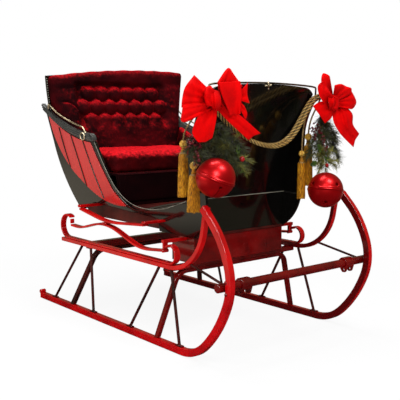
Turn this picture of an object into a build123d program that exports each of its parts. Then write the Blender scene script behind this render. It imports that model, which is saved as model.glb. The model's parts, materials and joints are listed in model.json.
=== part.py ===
from build123d import *
import math
import os

os.makedirs("parts", exist_ok=True)

# A one-horse sleigh (a cutter) with a two-person seat. Millimetres. +X is forward, +Y the sleigh's left,
# +Z up. The origin is on the ground under the middle of the runners' length.

# ---------------------------------------------------------------- driving dimensions
TRACK = 950.0            # between the middles of the two runners
RUNNER_W, RUNNER_H = 30.0, 36.0
RUNNER_REAR_X = -869.0
RUNNER_BEND_X = 520.0    # where the runner leaves the ground

RAIL_Y = 446.0           # middle of a side rail, out from the centre line
RAIL_W, RAIL_H = 28.0, 22.0
RAIL_Z = 395.0           # middle of the rail's height
RAIL_BOTTOM = RAIL_Z - RAIL_H / 2
RAIL_TOP = RAIL_Z + RAIL_H / 2
STRAP_T = 10.0           # the iron strap on the rail
SPRING_Y = 438.0         # middle of the strap and the leaf springs
LEAF_W, LEAF_T = 34.0, 12.0
BENCH_BOTTOM = 367.0     # top of the bent bows, which carry the cross benches

HALF_FLOOR = 316.0       # half width of the body at the height FLOOR_Z
FLOOR_Z = 532.0
LEAN_X0 = 438.0          # the station where a side wall leans out by LEAN_0
LEAN_0 = 0.10            # lean of a side wall there, mm outwards for each mm up
LEAN_RISE = 0.113        # how much more it leans for each metre further back
WALL = 14.0              # thickness of a side panel
REAR_STATION, FRONT_STATION = -860.0, 640.0      # where the side walls' ruled surface starts and ends
LOW_Z, HIGH_Z = 480.0, 1440.0

CREASE = (394.0, 707.0)  # x, z of the crease between toe panel and dash
DASH_TOP = (594.0, 1268.0)
SEAT_TOP_Z = 1350.0

SIDES = (("right", -1), ("left", 1))


def export(part, name):
    part.label = name
    export_step(part, f"parts/{name}.step")


def lean(x):
    """Outward lean of a side wall at station x."""
    return LEAN_0 + LEAN_RISE * (LEAN_X0 - x) / 1000.0


def half_width(x, z):
    """Half width of the body at x and z, measured outside its side panels."""
    return HALF_FLOOR + lean(x) * (z - FLOOR_Z)


def wall_section(x, side, inner, outer):
    """The cut through a side wall at station x, from `inner` to `outer` mm beyond the body's outer face."""
    low, high = half_width(x, LOW_Z), half_width(x, HIGH_Z)
    points = [(low + inner, LOW_Z), (low + outer, LOW_Z), (high + outer, HIGH_Z), (high + inner, HIGH_Z)]
    with BuildSketch(Plane.YZ.offset(x)) as section:
        with BuildLine():
            Polyline([(side * y, z) for y, z in points], close=True)
        make_face()
    return section


def hull_section(x, inset):
    """The cut through the room between the side walls at station x, `inset` mm inside the outer faces."""
    low, high = half_width(x, LOW_Z) - inset, half_width(x, HIGH_Z) - inset
    with BuildSketch(Plane.YZ.offset(x)) as section:
        with BuildLine():
            Polyline([(-low, LOW_Z), (low, LOW_Z), (high, HIGH_Z), (-high, HIGH_Z)], close=True)
        make_face()
    return section


# ---------------------------------------------------------------- runners, rails and irons
def bar_along(path, width, height):
    """A flat bar swept along a line that starts in the XZ plane of one side."""
    with BuildPart() as bar:
        start = path.wire() @ 0
        with BuildSketch(Plane(origin=start, x_dir=(0, 1, 0), z_dir=path.wire() % 0)):
            Rectangle(width, height)
        sweep(path=path.wire())
    return bar


def runner(side):
    """The shoe: flat on the ground, then one sweep up, forward and back to its point."""
    middle = RUNNER_H / 2
    with BuildLine(Plane.XZ.offset(-side * TRACK / 2)) as path:
        sole = Line((RUNNER_REAR_X, middle), (RUNNER_BEND_X, middle))
        heel = TangentArc((RUNNER_BEND_X, middle), (688, 85), tangent=sole % 1)
        rise = TangentArc((688, 85), (832, 297), tangent=heel % 1)
        nose = TangentArc((832, 297), (837, 479), tangent=rise % 1)
        back = TangentArc((837, 479), (723, 661), tangent=nose % 1)
        PolarLine(back @ 1, 74, direction=back % 1)
    return bar_along(path, RUNNER_W, RUNNER_H)


def rail(side):
    """The side rail: level over the legs, then up in front to lie against the runner's point."""
    with BuildLine(Plane.XZ.offset(-side * RAIL_Y)) as path:
        level = Line((-640, RAIL_Z), (395, RAIL_Z))
        sweep_up = JernArc(start=(395, RAIL_Z), tangent=(1, 0), radius=250, arc_size=80)
        PolarLine(sweep_up @ 1, 112, direction=sweep_up % 1)
    return bar_along(path, RAIL_W, RAIL_H)


def strap(side):
    """The iron strap on the rail, with an open scroll at the rear and a curl in front."""
    z = RAIL_TOP + STRAP_T / 2
    with BuildLine(Plane.XZ.offset(-side * SPRING_Y)) as path:
        JernArc(start=(-585, z), tangent=(-1, 0), radius=66, arc_size=-215)
        Line((-585, z), (391, z))
        JernArc(start=(391, z), tangent=(1, 0), radius=44, arc_size=225)
    return bar_along(path, LEAF_W, STRAP_T)


def leaf(side, corners, radii):
    with BuildLine(Plane.XZ.offset(-side * SPRING_Y)) as path:
        FilletPolyline(*corners, radius=radii)
    return bar_along(path, LEAF_W, LEAF_T)


carried = {}            # finished pieces that others are cut to fit
LOWER_LEAF = [(-540, 487), (-440, 483), (-180, 548), (140, 447), (329, 466)]
UPPER_LEAF = [(-440, 592), (-165, 545), (180, 572)]
CLIP_X = -175.0

for name, side in SIDES:
    export(runner(side).part, f"runner_{name}")
    side_rail = rail(side)
    export(side_rail.part, f"rail_{name}")
    carried[f"rail_{name}"] = side_rail.part
    export(strap(side).part, f"strap_{name}")

lower_pair = [leaf(side, LOWER_LEAF, [300, 450, 400]).part for _, side in SIDES]
upper_pair = [leaf(side, UPPER_LEAF, [900]).part for _, side in SIDES]
with BuildPart() as lower_leaves:
    add(lower_pair)
export(lower_leaves.part, "lower_leaves")
with BuildPart() as upper_leaves:
    add(upper_pair)
export(upper_leaves.part, "upper_leaves")

with BuildPart() as spring_clips:
    with Locations([(CLIP_X, side * SPRING_Y, 541.4) for _, side in SIDES]):
        Box(40, LEAF_W + 12, 7.4)
export(spring_clips.part, "spring_clips")

FRONT_EYE = (340.0, 466.0)
with BuildPart() as front_hangers:
    for _, side in SIDES:
        with Locations((FRONT_EYE[0], side * (HALF_FLOOR - 8 + 454) / 2, 512)):
            Box(20, 454 - HALF_FLOOR + 8, 16)
        with Locations((FRONT_EYE[0], side * SPRING_Y, (FRONT_EYE[1] + 504) / 2)):
            Box(12, 26, 504 - FRONT_EYE[1])
        with BuildSketch(Plane.XZ.offset(-side * SPRING_Y)):
            with Locations(FRONT_EYE):
                RegularPolygon(9, 8)
        extrude(amount=LEAF_W / 2, both=True)
export(front_hangers.part, "front_hangers")

REAR_EYE = (-548.0, 500.0)
with BuildPart() as rear_shackles:
    for _, side in SIDES:
        with Locations((REAR_EYE[0], side * SPRING_Y, 508)):
            Box(10, 24, 26)
export(rear_shackles.part, "rear_shackles")


# ---------------------------------------------------------------- bent bows, braces and cross benches
def bow(foot_x, top_x):
    """A bent wooden bow: a leg up from each runner, two round knees and a level top."""
    rise = BENCH_BOTTOM - 11 - RUNNER_H
    slope = math.atan2(top_x - foot_x, rise)
    plane = Plane(origin=(foot_x, 0, RUNNER_H), x_dir=(0, 1, 0), z_dir=(math.cos(slope), 0, -math.sin(slope)))
    top = rise / math.cos(slope)
    with BuildPart() as bent:
        with BuildLine(plane) as path:
            FilletPolyline((-479, -14), (-370, top), (370, top), (479, -14), radius=70)
        with BuildSketch(Plane(origin=path.wire() @ 0, x_dir=plane.z_dir, z_dir=path.wire() % 0)):
            Rectangle(26, 22)
        sweep(path=path.wire())
        with Locations((0, 0, (RUNNER_H + BENCH_BOTTOM) / 2)):
            Box(2400, 1200, BENCH_BOTTOM - RUNNER_H, mode=Mode.INTERSECT)
    return bent


def rod_section(start, end, diameter, overrun=12):
    """The round end of a straight rod through two points, a little before the first one."""
    along = (Vector(*end) - Vector(*start)).normalized()
    with BuildSketch(Plane(origin=Vector(*start) - along * overrun, z_dir=along)) as section:
        RegularPolygon(diameter / 2, 12)
    return section.sketch


def rod_length(start, end, overrun=12):
    return (Vector(*end) - Vector(*start)).length + 2 * overrun


BRACES = ((-700, -425), (-270, -335), (86, 303), (497, 399))     # x of the foot, x of the top
LEG_ROOM = RAIL_BOTTOM - RUNNER_H
for name, side in SIDES:
    with BuildPart() as braces:
        for foot_x, top_x in BRACES:
            ends = (foot_x, side * TRACK / 2, RUNNER_H), (top_x, side * RAIL_Y, RAIL_BOTTOM)
            extrude(rod_section(*ends, 15), amount=rod_length(*ends))
        with Locations((0, 0, RUNNER_H + LEG_ROOM / 2)):
            Box(2400, 1200, LEG_ROOM, mode=Mode.INTERSECT)
        with Locations([(foot_x, side * TRACK / 2, RUNNER_H + 2.5) for foot_x, _ in BRACES]):
            Box(46, 22, 5)
    export(braces.part, f"braces_{name}")

export(bow(-492, -390).part, "rear_bow")
export(bow(320, 355).part, "front_bow")

BENCH_SPAN = 2 * (RAIL_Y - RAIL_W / 2)
with BuildPart() as rear_bench:
    with Locations((-390, 0, (BENCH_BOTTOM + RAIL_TOP) / 2)):
        Box(44, BENCH_SPAN, RAIL_TOP - BENCH_BOTTOM)
export(rear_bench.part, "rear_bench")

BOLSTER_BOTTOM, BOLSTER_TOP = 389.0, 522.0
with BuildPart() as front_bench:
    with Locations((355, 0, (BENCH_BOTTOM + BOLSTER_BOTTOM) / 2)):
        Box(50, BENCH_SPAN, BOLSTER_BOTTOM - BENCH_BOTTOM)
export(front_bench.part, "front_bench")

with BuildPart() as bolster:
    with BuildSketch(Plane.XZ):
        with BuildLine():
            Polyline((225, BOLSTER_BOTTOM), (405, BOLSTER_BOTTOM), (405, BOLSTER_TOP), (300, BOLSTER_TOP),
                     (225, 487), close=True)
        make_face()
    extrude(amount=HALF_FLOOR - 8, both=True)
export(bolster.part, "bolster")

# ---------------------------------------------------------------- shaft bar
BAR_X, BAR_Z, BAR_R = 808.0, 377.0, 20.0
with BuildPart() as shaft_bar:
    with BuildSketch(Plane.XZ.offset(-515)):
        with Locations((BAR_X, BAR_Z)):
            Circle(BAR_R)
    extrude(amount=1030)
export(shaft_bar.part, "shaft_bar")

with BuildPart() as bar_stays:
    for _, side in SIDES:
        ends = (546, side * RAIL_Y, 432), (796, side * 464, 384)
        extrude(rod_section(*ends, 12, overrun=6), amount=rod_length(*ends, overrun=6))
    for name, _ in SIDES:
        add(carried[f"rail_{name}"], mode=Mode.SUBTRACT)
    add(shaft_bar.part, mode=Mode.SUBTRACT)
export(bar_stays.part, "bar_stays")

LUG_Y = 356.0            # a clevis for each shaft hangs from the bar: middle of its gap
LUG_W, LUG_GAP = 58.0, 34.0
EYE_X, EYE_Z, EYE_R = 814.0, 344.0, 6.0
# the clevis's side, from the middle of the bar
LUG_OUTLINE = [(-27, -10), (-27, 10), (-20, 19), (-10, 27), (10, 27), (20, 19), (27, 10), (27, -16), (19, -40),
               (12, -46), (0, -46), (-7, -40)]
lugs = []
for _, side in SIDES:
    with BuildPart() as lug:
        with BuildSketch(Plane.XZ.offset(-side * LUG_Y)):
            with BuildLine():
                Polyline([(BAR_X + dx, BAR_Z + dz) for dx, dz in LUG_OUTLINE], close=True)
            make_face()
            with Locations((BAR_X, BAR_Z)):
                Circle(BAR_R, mode=Mode.SUBTRACT)
            with Locations((EYE_X, EYE_Z)):
                Circle(EYE_R, mode=Mode.SUBTRACT)
        extrude(amount=LUG_W / 2, both=True)
        with Locations((BAR_X, side * LUG_Y, BAR_Z - BAR_R - 30)):
            Box(80, LUG_GAP, 60, mode=Mode.SUBTRACT)
    lugs.append(lug.part)
with BuildPart() as shaft_lugs:
    add(lugs)
export(shaft_lugs.part, "shaft_lugs")

# ---------------------------------------------------------------- body
SILL_LINE = ((129.0, 586.0), (-470.0, 618.0))    # x, z of the lower edge of the side, ahead and behind


def sill_z(x):
    (x1, z1), (x2, z2) = SILL_LINE
    return z1 + (z2 - z1) * (x - x1) / (x2 - x1)


with BuildPart() as body_sills:
    with BuildSketch(Plane.XZ):
        with BuildLine():
            Polyline((129, sill_z(129)), (-600, sill_z(-600)), (-600, 560), (-560, 530), (129, 530), close=True)
        make_face()
    extrude(amount=303, both=True)
    with Locations((-200, 0, 570)):
        Box(1200, 530, 200, mode=Mode.SUBTRACT)
export(body_sills.part, "body_sills")


def between_walls(inset):
    """The two end cuts of the room between the side walls, for a ruled loft."""
    return [hull_section(REAR_STATION, inset).sketch, hull_section(FRONT_STATION, inset).sketch]


def side_wall(side, inner, outer):
    """The two end cuts of a side wall, for a ruled loft."""
    return [wall_section(x, side, inner, outer).sketch for x in (REAR_STATION, FRONT_STATION)]


with BuildPart() as floor_pan:
    with BuildSketch(Plane.XZ):
        with BuildLine():
            Polyline((413, 522), (413, 534), (141, 534), (141, sill_z(141) + 12), (-640, sill_z(-640) + 12),
                     (-640, sill_z(-640)), (129, sill_z(129)), (129, 522), close=True)
        make_face()
    extrude(amount=600, both=True)
    loft(between_walls(WALL), ruled=True, mode=Mode.INTERSECT)
export(floor_pan.part, "floor_pan")

# Outlines on the side, as x and z. Each is used again by the piece that meets it there.
REAR_FOOT, REAR_MIDDLE, REAR_ARM = (-645.0, 562.0), (-782.0, 960.0), (-790.0, 1141.0)
REAR_BULGE = (-752.0, 760.0)
ARM_MIDDLE, ARM_FRONT = (-628.0, 1036.0), (-352.0, 973.0)      # lower edge of the arm rail
DASH_FOOT_REAR, DASH_HEAD_REAR = (382.0, 703.0), (556.0, 1215.0)
DASH_START = (math.cos(math.radians(88)), math.sin(math.radians(88)))
BEAD = 9.0
# x, z and the way into the panel (x, z) at each point of the swept opening
ENTRY = [(-350, 973, -0.93, -0.36), (-304, 855, -0.86, -0.50), (-211, 701, -0.69, -0.72), (15, 624, 0, -1),
         (382, 703, 0.37, -0.93)]


def entry_curve(inwards):
    """The opening's edge, moved `inwards` mm into the panel; returns its first and last point."""
    points = [(x + inwards * into_x, z + inwards * into_z) for x, z, into_x, into_z in ENTRY]
    upper = ThreePointArc(*points[:3])
    lower = TangentArc(points[2], points[3], tangent=upper % 1)
    TangentArc(points[3], points[4], tangent=lower % 1)
    return points[0], points[-1]


def cut_to(sketch):
    """Keep what lies inside an outline drawn on the side."""
    extrude(sketch, amount=800, both=True, mode=Mode.INTERSECT)


with BuildSketch(Plane.XZ) as side_outline:
    with BuildLine():
        start, end = entry_curve(BEAD)
        ThreePointArc(REAR_FOOT, REAR_BULGE, REAR_MIDDLE)
        Line(REAR_MIDDLE, REAR_ARM)
        ThreePointArc(REAR_ARM, ARM_MIDDLE, ARM_FRONT)
        Line(ARM_FRONT, start)
        Line(end, DASH_FOOT_REAR)
        TangentArc(DASH_FOOT_REAR, DASH_HEAD_REAR, tangent=DASH_START)
        Line(DASH_HEAD_REAR, (584, 1203))
        ThreePointArc((584, 1203), (535, 1120), (514, 1030))
        Line((514, 1030), (520, 690))
        ThreePointArc((520, 690), (488, 600), (415, 530))
        Polyline((415, 530), (413, 522), (129, 522), SILL_LINE[0], SILL_LINE[1], (-560, 587), REAR_FOOT)
    make_face()

with BuildSketch(Plane.XZ) as bead_outline:
    with BuildLine():
        outer_start, outer_end = entry_curve(0)
        inner_start, inner_end = entry_curve(BEAD)
        Line(outer_start, inner_start)
        Line(outer_end, inner_end)
    make_face()

with BuildSketch(Plane.XZ) as arm_outline:
    with BuildLine():
        ThreePointArc((-797, 1184), (-635, 1078), (-372, 1017))
        ThreePointArc((-372, 1017), (-349, 997), ARM_FRONT)
        ThreePointArc(ARM_FRONT, ARM_MIDDLE, REAR_ARM)
        Line(REAR_ARM, (-797, 1184))
    make_face()

with BuildSketch(Plane.XZ) as quarter_outline:
    with BuildLine():
        ThreePointArc((-764, 1112), (-628, 1026), (-392, 966))
        ThreePointArc((-392, 966), (-338, 850), (-250, 702))
        Line((-250, 702), (-144, 626))
        ThreePointArc((-144, 626), (-353, 640), (-560, 742))
        ThreePointArc((-560, 742), (-710, 890), (-764, 1112))
    make_face()

beads = []
for name, side in SIDES:
    with BuildPart() as side_panel:
        loft(side_wall(side, -WALL, 0), ruled=True)
        cut_to(side_outline.sketch)
    export(side_panel.part, f"side_panel_{name}")
    carried[f"side_panel_{name}"] = side_panel.part

    with BuildPart() as bead:
        loft(side_wall(side, -WALL, 4), ruled=True)
        cut_to(bead_outline.sketch)
    beads.append(bead.part)

    with BuildPart() as arm_rail:
        loft(side_wall(side, -WALL, 12), ruled=True)
        cut_to(arm_outline.sketch)
    export(arm_rail.part, f"arm_rail_{name}")
    carried[f"arm_rail_{name}"] = arm_rail.part

    with BuildPart() as quarter_panel:
        loft(side_wall(side, 0, 5), ruled=True)
        cut_to(quarter_outline.sketch)
    export(quarter_panel.part, f"quarter_panel_{name}")

with BuildPart() as entry_beads:
    add(beads)
export(entry_beads.part, "entry_beads")

# x, z of a divider's middle line on the quarter panel, from the arm down
RIBS = [[(-677, 1046), (-665, 918), (-646, 812)], [(-571, 1005), (-548, 888), (-513, 708)],
        [(-461, 980), (-422, 836), (-350, 650)]]
with BuildSketch(Plane.XZ) as rib_outline:
    for top, middle, foot in RIBS:
        with BuildLine():
            ThreePointArc((top[0] - 4, top[1]), (middle[0] - 4, middle[1]), (foot[0] - 4, foot[1]))
            Line((foot[0] - 4, foot[1]), (foot[0] + 4, foot[1]))
            ThreePointArc((foot[0] + 4, foot[1]), (middle[0] + 4, middle[1]), (top[0] + 4, top[1]))
            Line((top[0] + 4, top[1]), (top[0] - 4, top[1]))
        make_face()
strips = []
for _, side in SIDES:
    with BuildPart() as raised_strips:
        loft(side_wall(side, 5, 9), ruled=True)
        cut_to(rib_outline.sketch)
    strips.append(raised_strips.part)
with BuildPart() as panel_ribs:
    add(strips)
export(panel_ribs.part, "panel_ribs")

# brackets under the body's sides, which the ends of the upper leaves bear on
with BuildPart() as spring_brackets:
    for _, side in SIDES:
        with Locations((-440, side * (303 + 455) / 2, (599.5 + 615) / 2)):
            Box(30, 455 - 303, 615 - 599.5)
        with Locations((180, side * (318 + 455) / 2, 584)):
            Box(30, 455 - 318, 12)
    for name, _ in SIDES:
        add(carried[f"side_panel_{name}"], mode=Mode.SUBTRACT)
export(spring_brackets.part, "spring_brackets")

def back_line(forward):
    """The bow of the seat back from its foot to above its head, moved `forward` mm."""
    points = [(x + forward, z) for x, z in (REAR_FOOT, REAR_BULGE, REAR_MIDDLE, (-775, 1160), (-728, 1372))]
    ThreePointArc(*points[:3])
    ThreePointArc(*points[2:])
    return points[0], points[-1]


with BuildPart() as back_panel:
    with BuildSketch(Plane.XZ):
        with BuildLine():
            rear_foot, rear_head = back_line(0)
            front_foot, front_head = back_line(WALL)
            Line(rear_foot, front_foot)
            Line(rear_head, front_head)
        make_face()
    extrude(amount=600, both=True)
    loft(between_walls(WALL), ruled=True, mode=Mode.INTERSECT)
    with BuildSketch(Plane.YZ):
        with BuildLine():
            ThreePointArc((-560, 1335), (0, 1366), (560, 1335))
            Polyline((560, 1335), (560, 500), (-560, 500), (-560, 1335))
        make_face()
    extrude(amount=900, both=True, mode=Mode.INTERSECT)
export(back_panel.part, "back_panel")

with BuildPart() as dash_panel:
    with BuildSketch(Plane.XZ):
        with BuildLine():
            TangentArc(CREASE, DASH_TOP, tangent=DASH_START)
            TangentArc((382, 708), (582, 1271), tangent=DASH_START)
            Line(CREASE, (382, 708))
            Line(DASH_TOP, (582, 1271))
        make_face()
    extrude(amount=600, both=True)
    loft(between_walls(WALL), ruled=True, mode=Mode.INTERSECT)
    with BuildSketch(Plane.YZ):
        with BuildLine():
            Polyline((-400, 1185), (-400, 600), (400, 600), (400, 1185))
            ThreePointArc((400, 1185), (352, 1230), (283, 1256))
            ThreePointArc((283, 1256), (0, 1268), (-283, 1256))
            ThreePointArc((-283, 1256), (-352, 1230), (-400, 1185))
        make_face()
    extrude(amount=900, both=True, mode=Mode.INTERSECT)
export(dash_panel.part, "dash_panel")

with BuildPart() as toe_panel:
    with BuildSketch(Plane.XZ):
        with BuildLine():
            Polyline((413, 534), CREASE, (382, 707), (401, 534), close=True)
        make_face()
    extrude(amount=600, both=True)
    loft(between_walls(WALL), ruled=True, mode=Mode.INTERSECT)
export(toe_panel.part, "toe_panel")

SEAT_Z = 800.0
SEAT_FRONT_X = -215.0
with BuildPart() as seat_box:
    with BuildSketch(Plane.XZ):
        with BuildLine():
            foot_x = SEAT_FRONT_X - WALL
            Polyline((-738, SEAT_Z), (SEAT_FRONT_X, SEAT_Z), (SEAT_FRONT_X, sill_z(SEAT_FRONT_X) + 12),
                     (foot_x, sill_z(foot_x) + 12), (foot_x, SEAT_Z - WALL), (-738, SEAT_Z - WALL), close=True)
        make_face()
    extrude(amount=600, both=True)
    loft(between_walls(WALL), ruled=True, mode=Mode.INTERSECT)
export(seat_box.part, "seat_box")

# ---------------------------------------------------------------- upholstery
with BuildPart() as seat_cushion:
    with BuildSketch(Plane.XZ):
        with BuildLine():
            ThreePointArc((-725, 895), (-460, 918), (-240, 912))
            ThreePointArc((-240, 912), (-203, 890), (-203, 850))
            Polyline((-203, 850), (-210, SEAT_Z), (-725, SEAT_Z), (-725, 895))
        make_face()
    extrude(amount=600, both=True)
    loft(between_walls(WALL + 2), ruled=True, mode=Mode.INTERSECT)
export(seat_cushion.part, "seat_cushion")

with BuildPart() as back_cushion:
    with BuildSketch(Plane.XZ):
        with BuildLine():
            ThreePointArc((-767, 923), (-767.5, 940), (-767.4, 960))
            ThreePointArc((-767.4, 960), (-760.4, 1160), (-715, 1366))
            Line((-715, 1366), (-709, 1394))
            ThreePointArc((-709, 1394), (-694, 1381), (-690, 1330))
            ThreePointArc((-690, 1330), (-636, 1120), (-593, 923))
            Line((-593, 923), (-767, 923))
        make_face()
    extrude(amount=600, both=True)
    loft(between_walls(WALL + 2), ruled=True, mode=Mode.INTERSECT)
    with BuildSketch(Plane.YZ):
        with BuildLine():
            ThreePointArc((-560, 1336), (0, 1386), (560, 1386))
            Polyline((560, 1386), (560, 500), (-560, 500), (-560, 1336))
        make_face()
    extrude(amount=900, both=True, mode=Mode.INTERSECT)
export(back_cushion.part, "back_cushion")

with BuildSketch(Plane.XZ) as arm_pad_outline:
    with BuildLine():
        ThreePointArc((-664, 1045), (-520, 1000), (-378, 966))
        Polyline((-378, 966), (-398, 923), (-640, 923), (-664, 1045))
    make_face()
pads = []
for _, side in SIDES:
    with BuildPart() as arm_pad:
        loft(side_wall(side, -WALL - 38, -WALL), ruled=True)
        cut_to(arm_pad_outline.sketch)
        add(back_cushion.part, mode=Mode.SUBTRACT)
    pads.append(arm_pad.part)
with BuildPart() as arm_pads:
    add(pads)
export(arm_pads.part, "arm_pads")

# ---------------------------------------------------------------- rails of bright metal
# x, z of the hand rail over the arm; it lies 3 mm outside the body
HAND_RAIL = [(-752, 1152), (-740, 1182), (-667, 1122), (-523, 1069), (-440, 1052), (-425, 1012)]
with BuildPart() as hand_rails:
    for _, side in SIDES:
        points = [(x, side * (half_width(x, z) + 3), z) for x, z in HAND_RAIL]
        with BuildLine() as path:
            Polyline(*points)
        with BuildSketch(Plane(origin=path.wire() @ 0, z_dir=path.wire() % 0)):
            RegularPolygon(5, 6)
        sweep(path=path.wire(), transition=Transition.RIGHT)
    for name, _ in SIDES:
        add(carried[f"arm_rail_{name}"], mode=Mode.SUBTRACT)
export(hand_rails.part, "hand_rails")

with BuildPart() as rein_rail:
    with BuildLine() as path:
        Polyline((572, -366, 1205), (577, -366, 1252), (582, -350, 1263), (590, -180, 1271), (592, 0, 1276),
                 (590, 180, 1271), (582, 350, 1263), (577, 366, 1252), (572, 366, 1205))
    with BuildSketch(Plane(origin=path.wire() @ 0, z_dir=path.wire() % 0)):
        RegularPolygon(5.5, 6)
    sweep(path=path.wire(), transition=Transition.RIGHT)
    for name, _ in SIDES:
        add(carried[f"side_panel_{name}"], mode=Mode.SUBTRACT)
    add(dash_panel.part, mode=Mode.SUBTRACT)
export(rein_rail.part, "rein_rail")

# ---------------------------------------------------------------- ornaments at the two upper corners of the dash
ROPE_D = 18.0
CORD_D = 8.0
BELL_R = 90.0
# y and z of a ribbon bow's outline from its knot, y growing towards the middle of the sleigh
RIBBON = [(0, 36), (-64, 98), (-121, 128), (-160, 40), (-200, -66), (-110, -76), (-62, -50), (-90, -160),
          (-24, -150), (6, -46), (60, -40), (230, -150), (262, -110), (130, -10), (206, 10), (196, 84), (138, 78),
          (86, 160), (44, 92)]
RIBBON_X = 640.0         # back of the bow; a tie behind it goes round the end of the rein rail
RIBBON_T = 70.0
KNOT = {"right": (-402, 1165), "left": (378, 1199)}      # y, z
BOW_REACH = 590.0        # how far out each bow reaches
BELL = {"right": (660, -394, 839), "left": (699, 313, 740)}         # x, y, z of the middle
# x, y, top of the head, bottom of the skirt, radius of the skirt
TASSELS = {
    "right": {"outer": (440, -404, 1000, 738, 27), "inner": (530, -415, 905, 675, 32)},
    "left": {"outer": (579, 311, 1022, 756, 26), "inner": (584, 258, 935, 692, 21)},
}
# the sprays of greenery: x of the back and the front, then y and z of the outline
GREENERY = {
    "right": (592, 638, [(-500, 985), (-470, 1060), (-395, 1105), (-300, 1060), (-262, 1020), (-190, 950),
                         (-190, 880), (-240, 860), (-330, 935), (-440, 935)]),
    "left": (566, 634, [(342, 930), (342, 1030), (400, 1080), (470, 1060), (520, 980), (490, 880), (400, 840)]),
}
TASSEL_CORDS = {
    "right": {"outer": [(592, -402, 1170), (556, -404, 1140), (500, -405, 1095), (452, -405, 1045),
                        (440, -404, 1000), (441, -404, 935), (440, -404, 872)],
              "inner": [(604, -402, 1170), (580, -409, 1105), (548, -414, 1040), (532, -417, 970),
                        (530, -415, 905), (531, -415, 850), (530, -415, 795)]},
    "left": {"outer": [(600, 378, 1206), (594, 356, 1160), (586, 332, 1115), (581, 316, 1068), (579, 311, 1022),
                       (580, 311, 960), (579, 311, 898)],
             "inner": [(590, 368, 1208), (590, 325, 1182), (588, 284, 1125), (585, 262, 1040), (584, 258, 935),
                       (585, 258, 880), (584, 258, 826)]},
}
# y and z of the swag, whose two strands run side by side: x of the strand, and how much higher it lies
SWAG = [(-392, 1180), (-340, 1126), (-262, 1060), (-170, 1010), (-60, 975), (45, 966), (135, 1002), (205, 1082),
        (262, 1160), (310, 1205), (368, 1216)]
STRANDS = {"rear": (607, 4), "front": (627, -4)}


def corner_radii(route):
    """The radius of the arc at each corner of a cord's route."""
    points = [Vector(*point) for point in route]
    radii = []
    for before, corner, after in zip(points, points[1:], points[2:]):
        into, out = corner - before, after - corner
        half_turn = math.radians(into.get_angle(out)) / 2
        radii.append(0.45 * min(into.length, out.length) / math.tan(half_turn))
    return radii


def cord(route, diameter, sides):
    """A tube of straight runs and tangent arcs; its section is a polygon of the circle's area."""
    area_radius = diameter / 2 / math.sqrt(sides / (2 * math.pi) * math.sin(2 * math.pi / sides))
    radii = corner_radii(route)
    print(f"cord of {diameter} mm, corner radii", [round(radius) for radius in radii])
    with BuildPart() as tube:
        with BuildLine() as path:
            FilletPolyline(*route, radius=radii)
        with BuildSketch(Plane(origin=path.wire() @ 0, z_dir=path.wire() % 0)):
            RegularPolygon(area_radius, sides)
        sweep(path=path.wire())
    return tube.part


def faceted(x, y, rings, sides):
    """A closed solid of flat faces: rings of `sides` corners, given as radius and z from the foot up."""
    corners = []
    for radius, z in rings:
        turns = [2 * math.pi * (i + 0.5) / sides for i in range(sides)]
        corners.append([(x + radius * math.cos(a), y + radius * math.sin(a), z) for a in turns])
    faces = [Face(Wire.make_polygon(corners[0])), Face(Wire.make_polygon(corners[-1]))]
    for below, above in zip(corners, corners[1:]):
        for i in range(sides):
            j = (i + 1) % sides
            faces.append(Face(Wire.make_polygon([below[i], below[j], above[j], above[i]])))
    return Solid(Shell(faces))


def tassel(x, y, top, bottom, radius):
    """A head, a bound neck and a flared skirt."""
    rings = [(radius, bottom), (radius * 0.75, top - 60), (12, top - 40), (12, top - 34), (19, top - 16), (12, top)]
    return faceted(x, y, rings, 8)


strands = [cord([(x, y, z + higher) for y, z in SWAG], ROPE_D, 6) for x, higher in STRANDS.values()]
for place, strand in zip(STRANDS, strands):
    export(strand, f"swag_{place}")

hung = []
bells = []
for name, side in SIDES:
    tassel_cords = {place: cord(route, CORD_D, 6) for place, route in TASSEL_CORDS[name].items()}
    for place, tassel_cord in tassel_cords.items():
        export(tassel_cord, f"tassel_cord_{name}_{place}")
        with BuildPart() as threaded:
            add(tassel(*TASSELS[name][place]))
            add(tassel_cord, mode=Mode.SUBTRACT)
        hung.append(threaded.part)

    knot_y, knot_z = KNOT[name]
    outward = (BOW_REACH - abs(knot_y)) / -min(dy for dy, _ in RIBBON)
    with BuildPart() as ribbon:
        with BuildSketch(Plane.YZ.offset(RIBBON_X)):
            with BuildLine():
                Polyline([(knot_y - side * dy * (outward if dy < 0 else 1), knot_z + dz) for dy, dz in RIBBON],
                         close=True)
            make_face()
        extrude(amount=RIBBON_T)
        with Locations((RIBBON_X - 35, knot_y, knot_z + 15)):
            Box(90, 24, 50)
        add([carried[f"side_panel_{name}"], dash_panel.part, rein_rail.part], mode=Mode.SUBTRACT)
        add(strands + list(tassel_cords.values()), mode=Mode.SUBTRACT)
    export(ribbon.part, f"ribbon_{name}")

    x, y, z = BELL[name]
    with BuildPart() as bell:
        add(faceted(x, y, [(BELL_R * math.cos(math.radians(a)), z + BELL_R * math.sin(math.radians(a)))
                           for a in range(-80, 81, 20)], 16))
        with Locations((x, y, (z + BELL_R + knot_z) / 2)):
            Box(5, 5, knot_z - z - BELL_R + 10)
        add(ribbon.part, mode=Mode.SUBTRACT)
    bells.append(bell.part)

    back_x, front_x, outline = GREENERY[name]
    with BuildPart() as greenery:
        with BuildSketch(Plane.YZ.offset(back_x)):
            with BuildLine():
                Polyline(outline, close=True)
            make_face()
        extrude(amount=front_x - back_x)
    export(greenery.part, f"greenery_{name}")

with BuildPart() as jingle_bells:
    add(bells)
export(jingle_bells.part, "jingle_bells")
with BuildPart() as tassels:
    add(hung)
export(tassels.part, "tassels")
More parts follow.
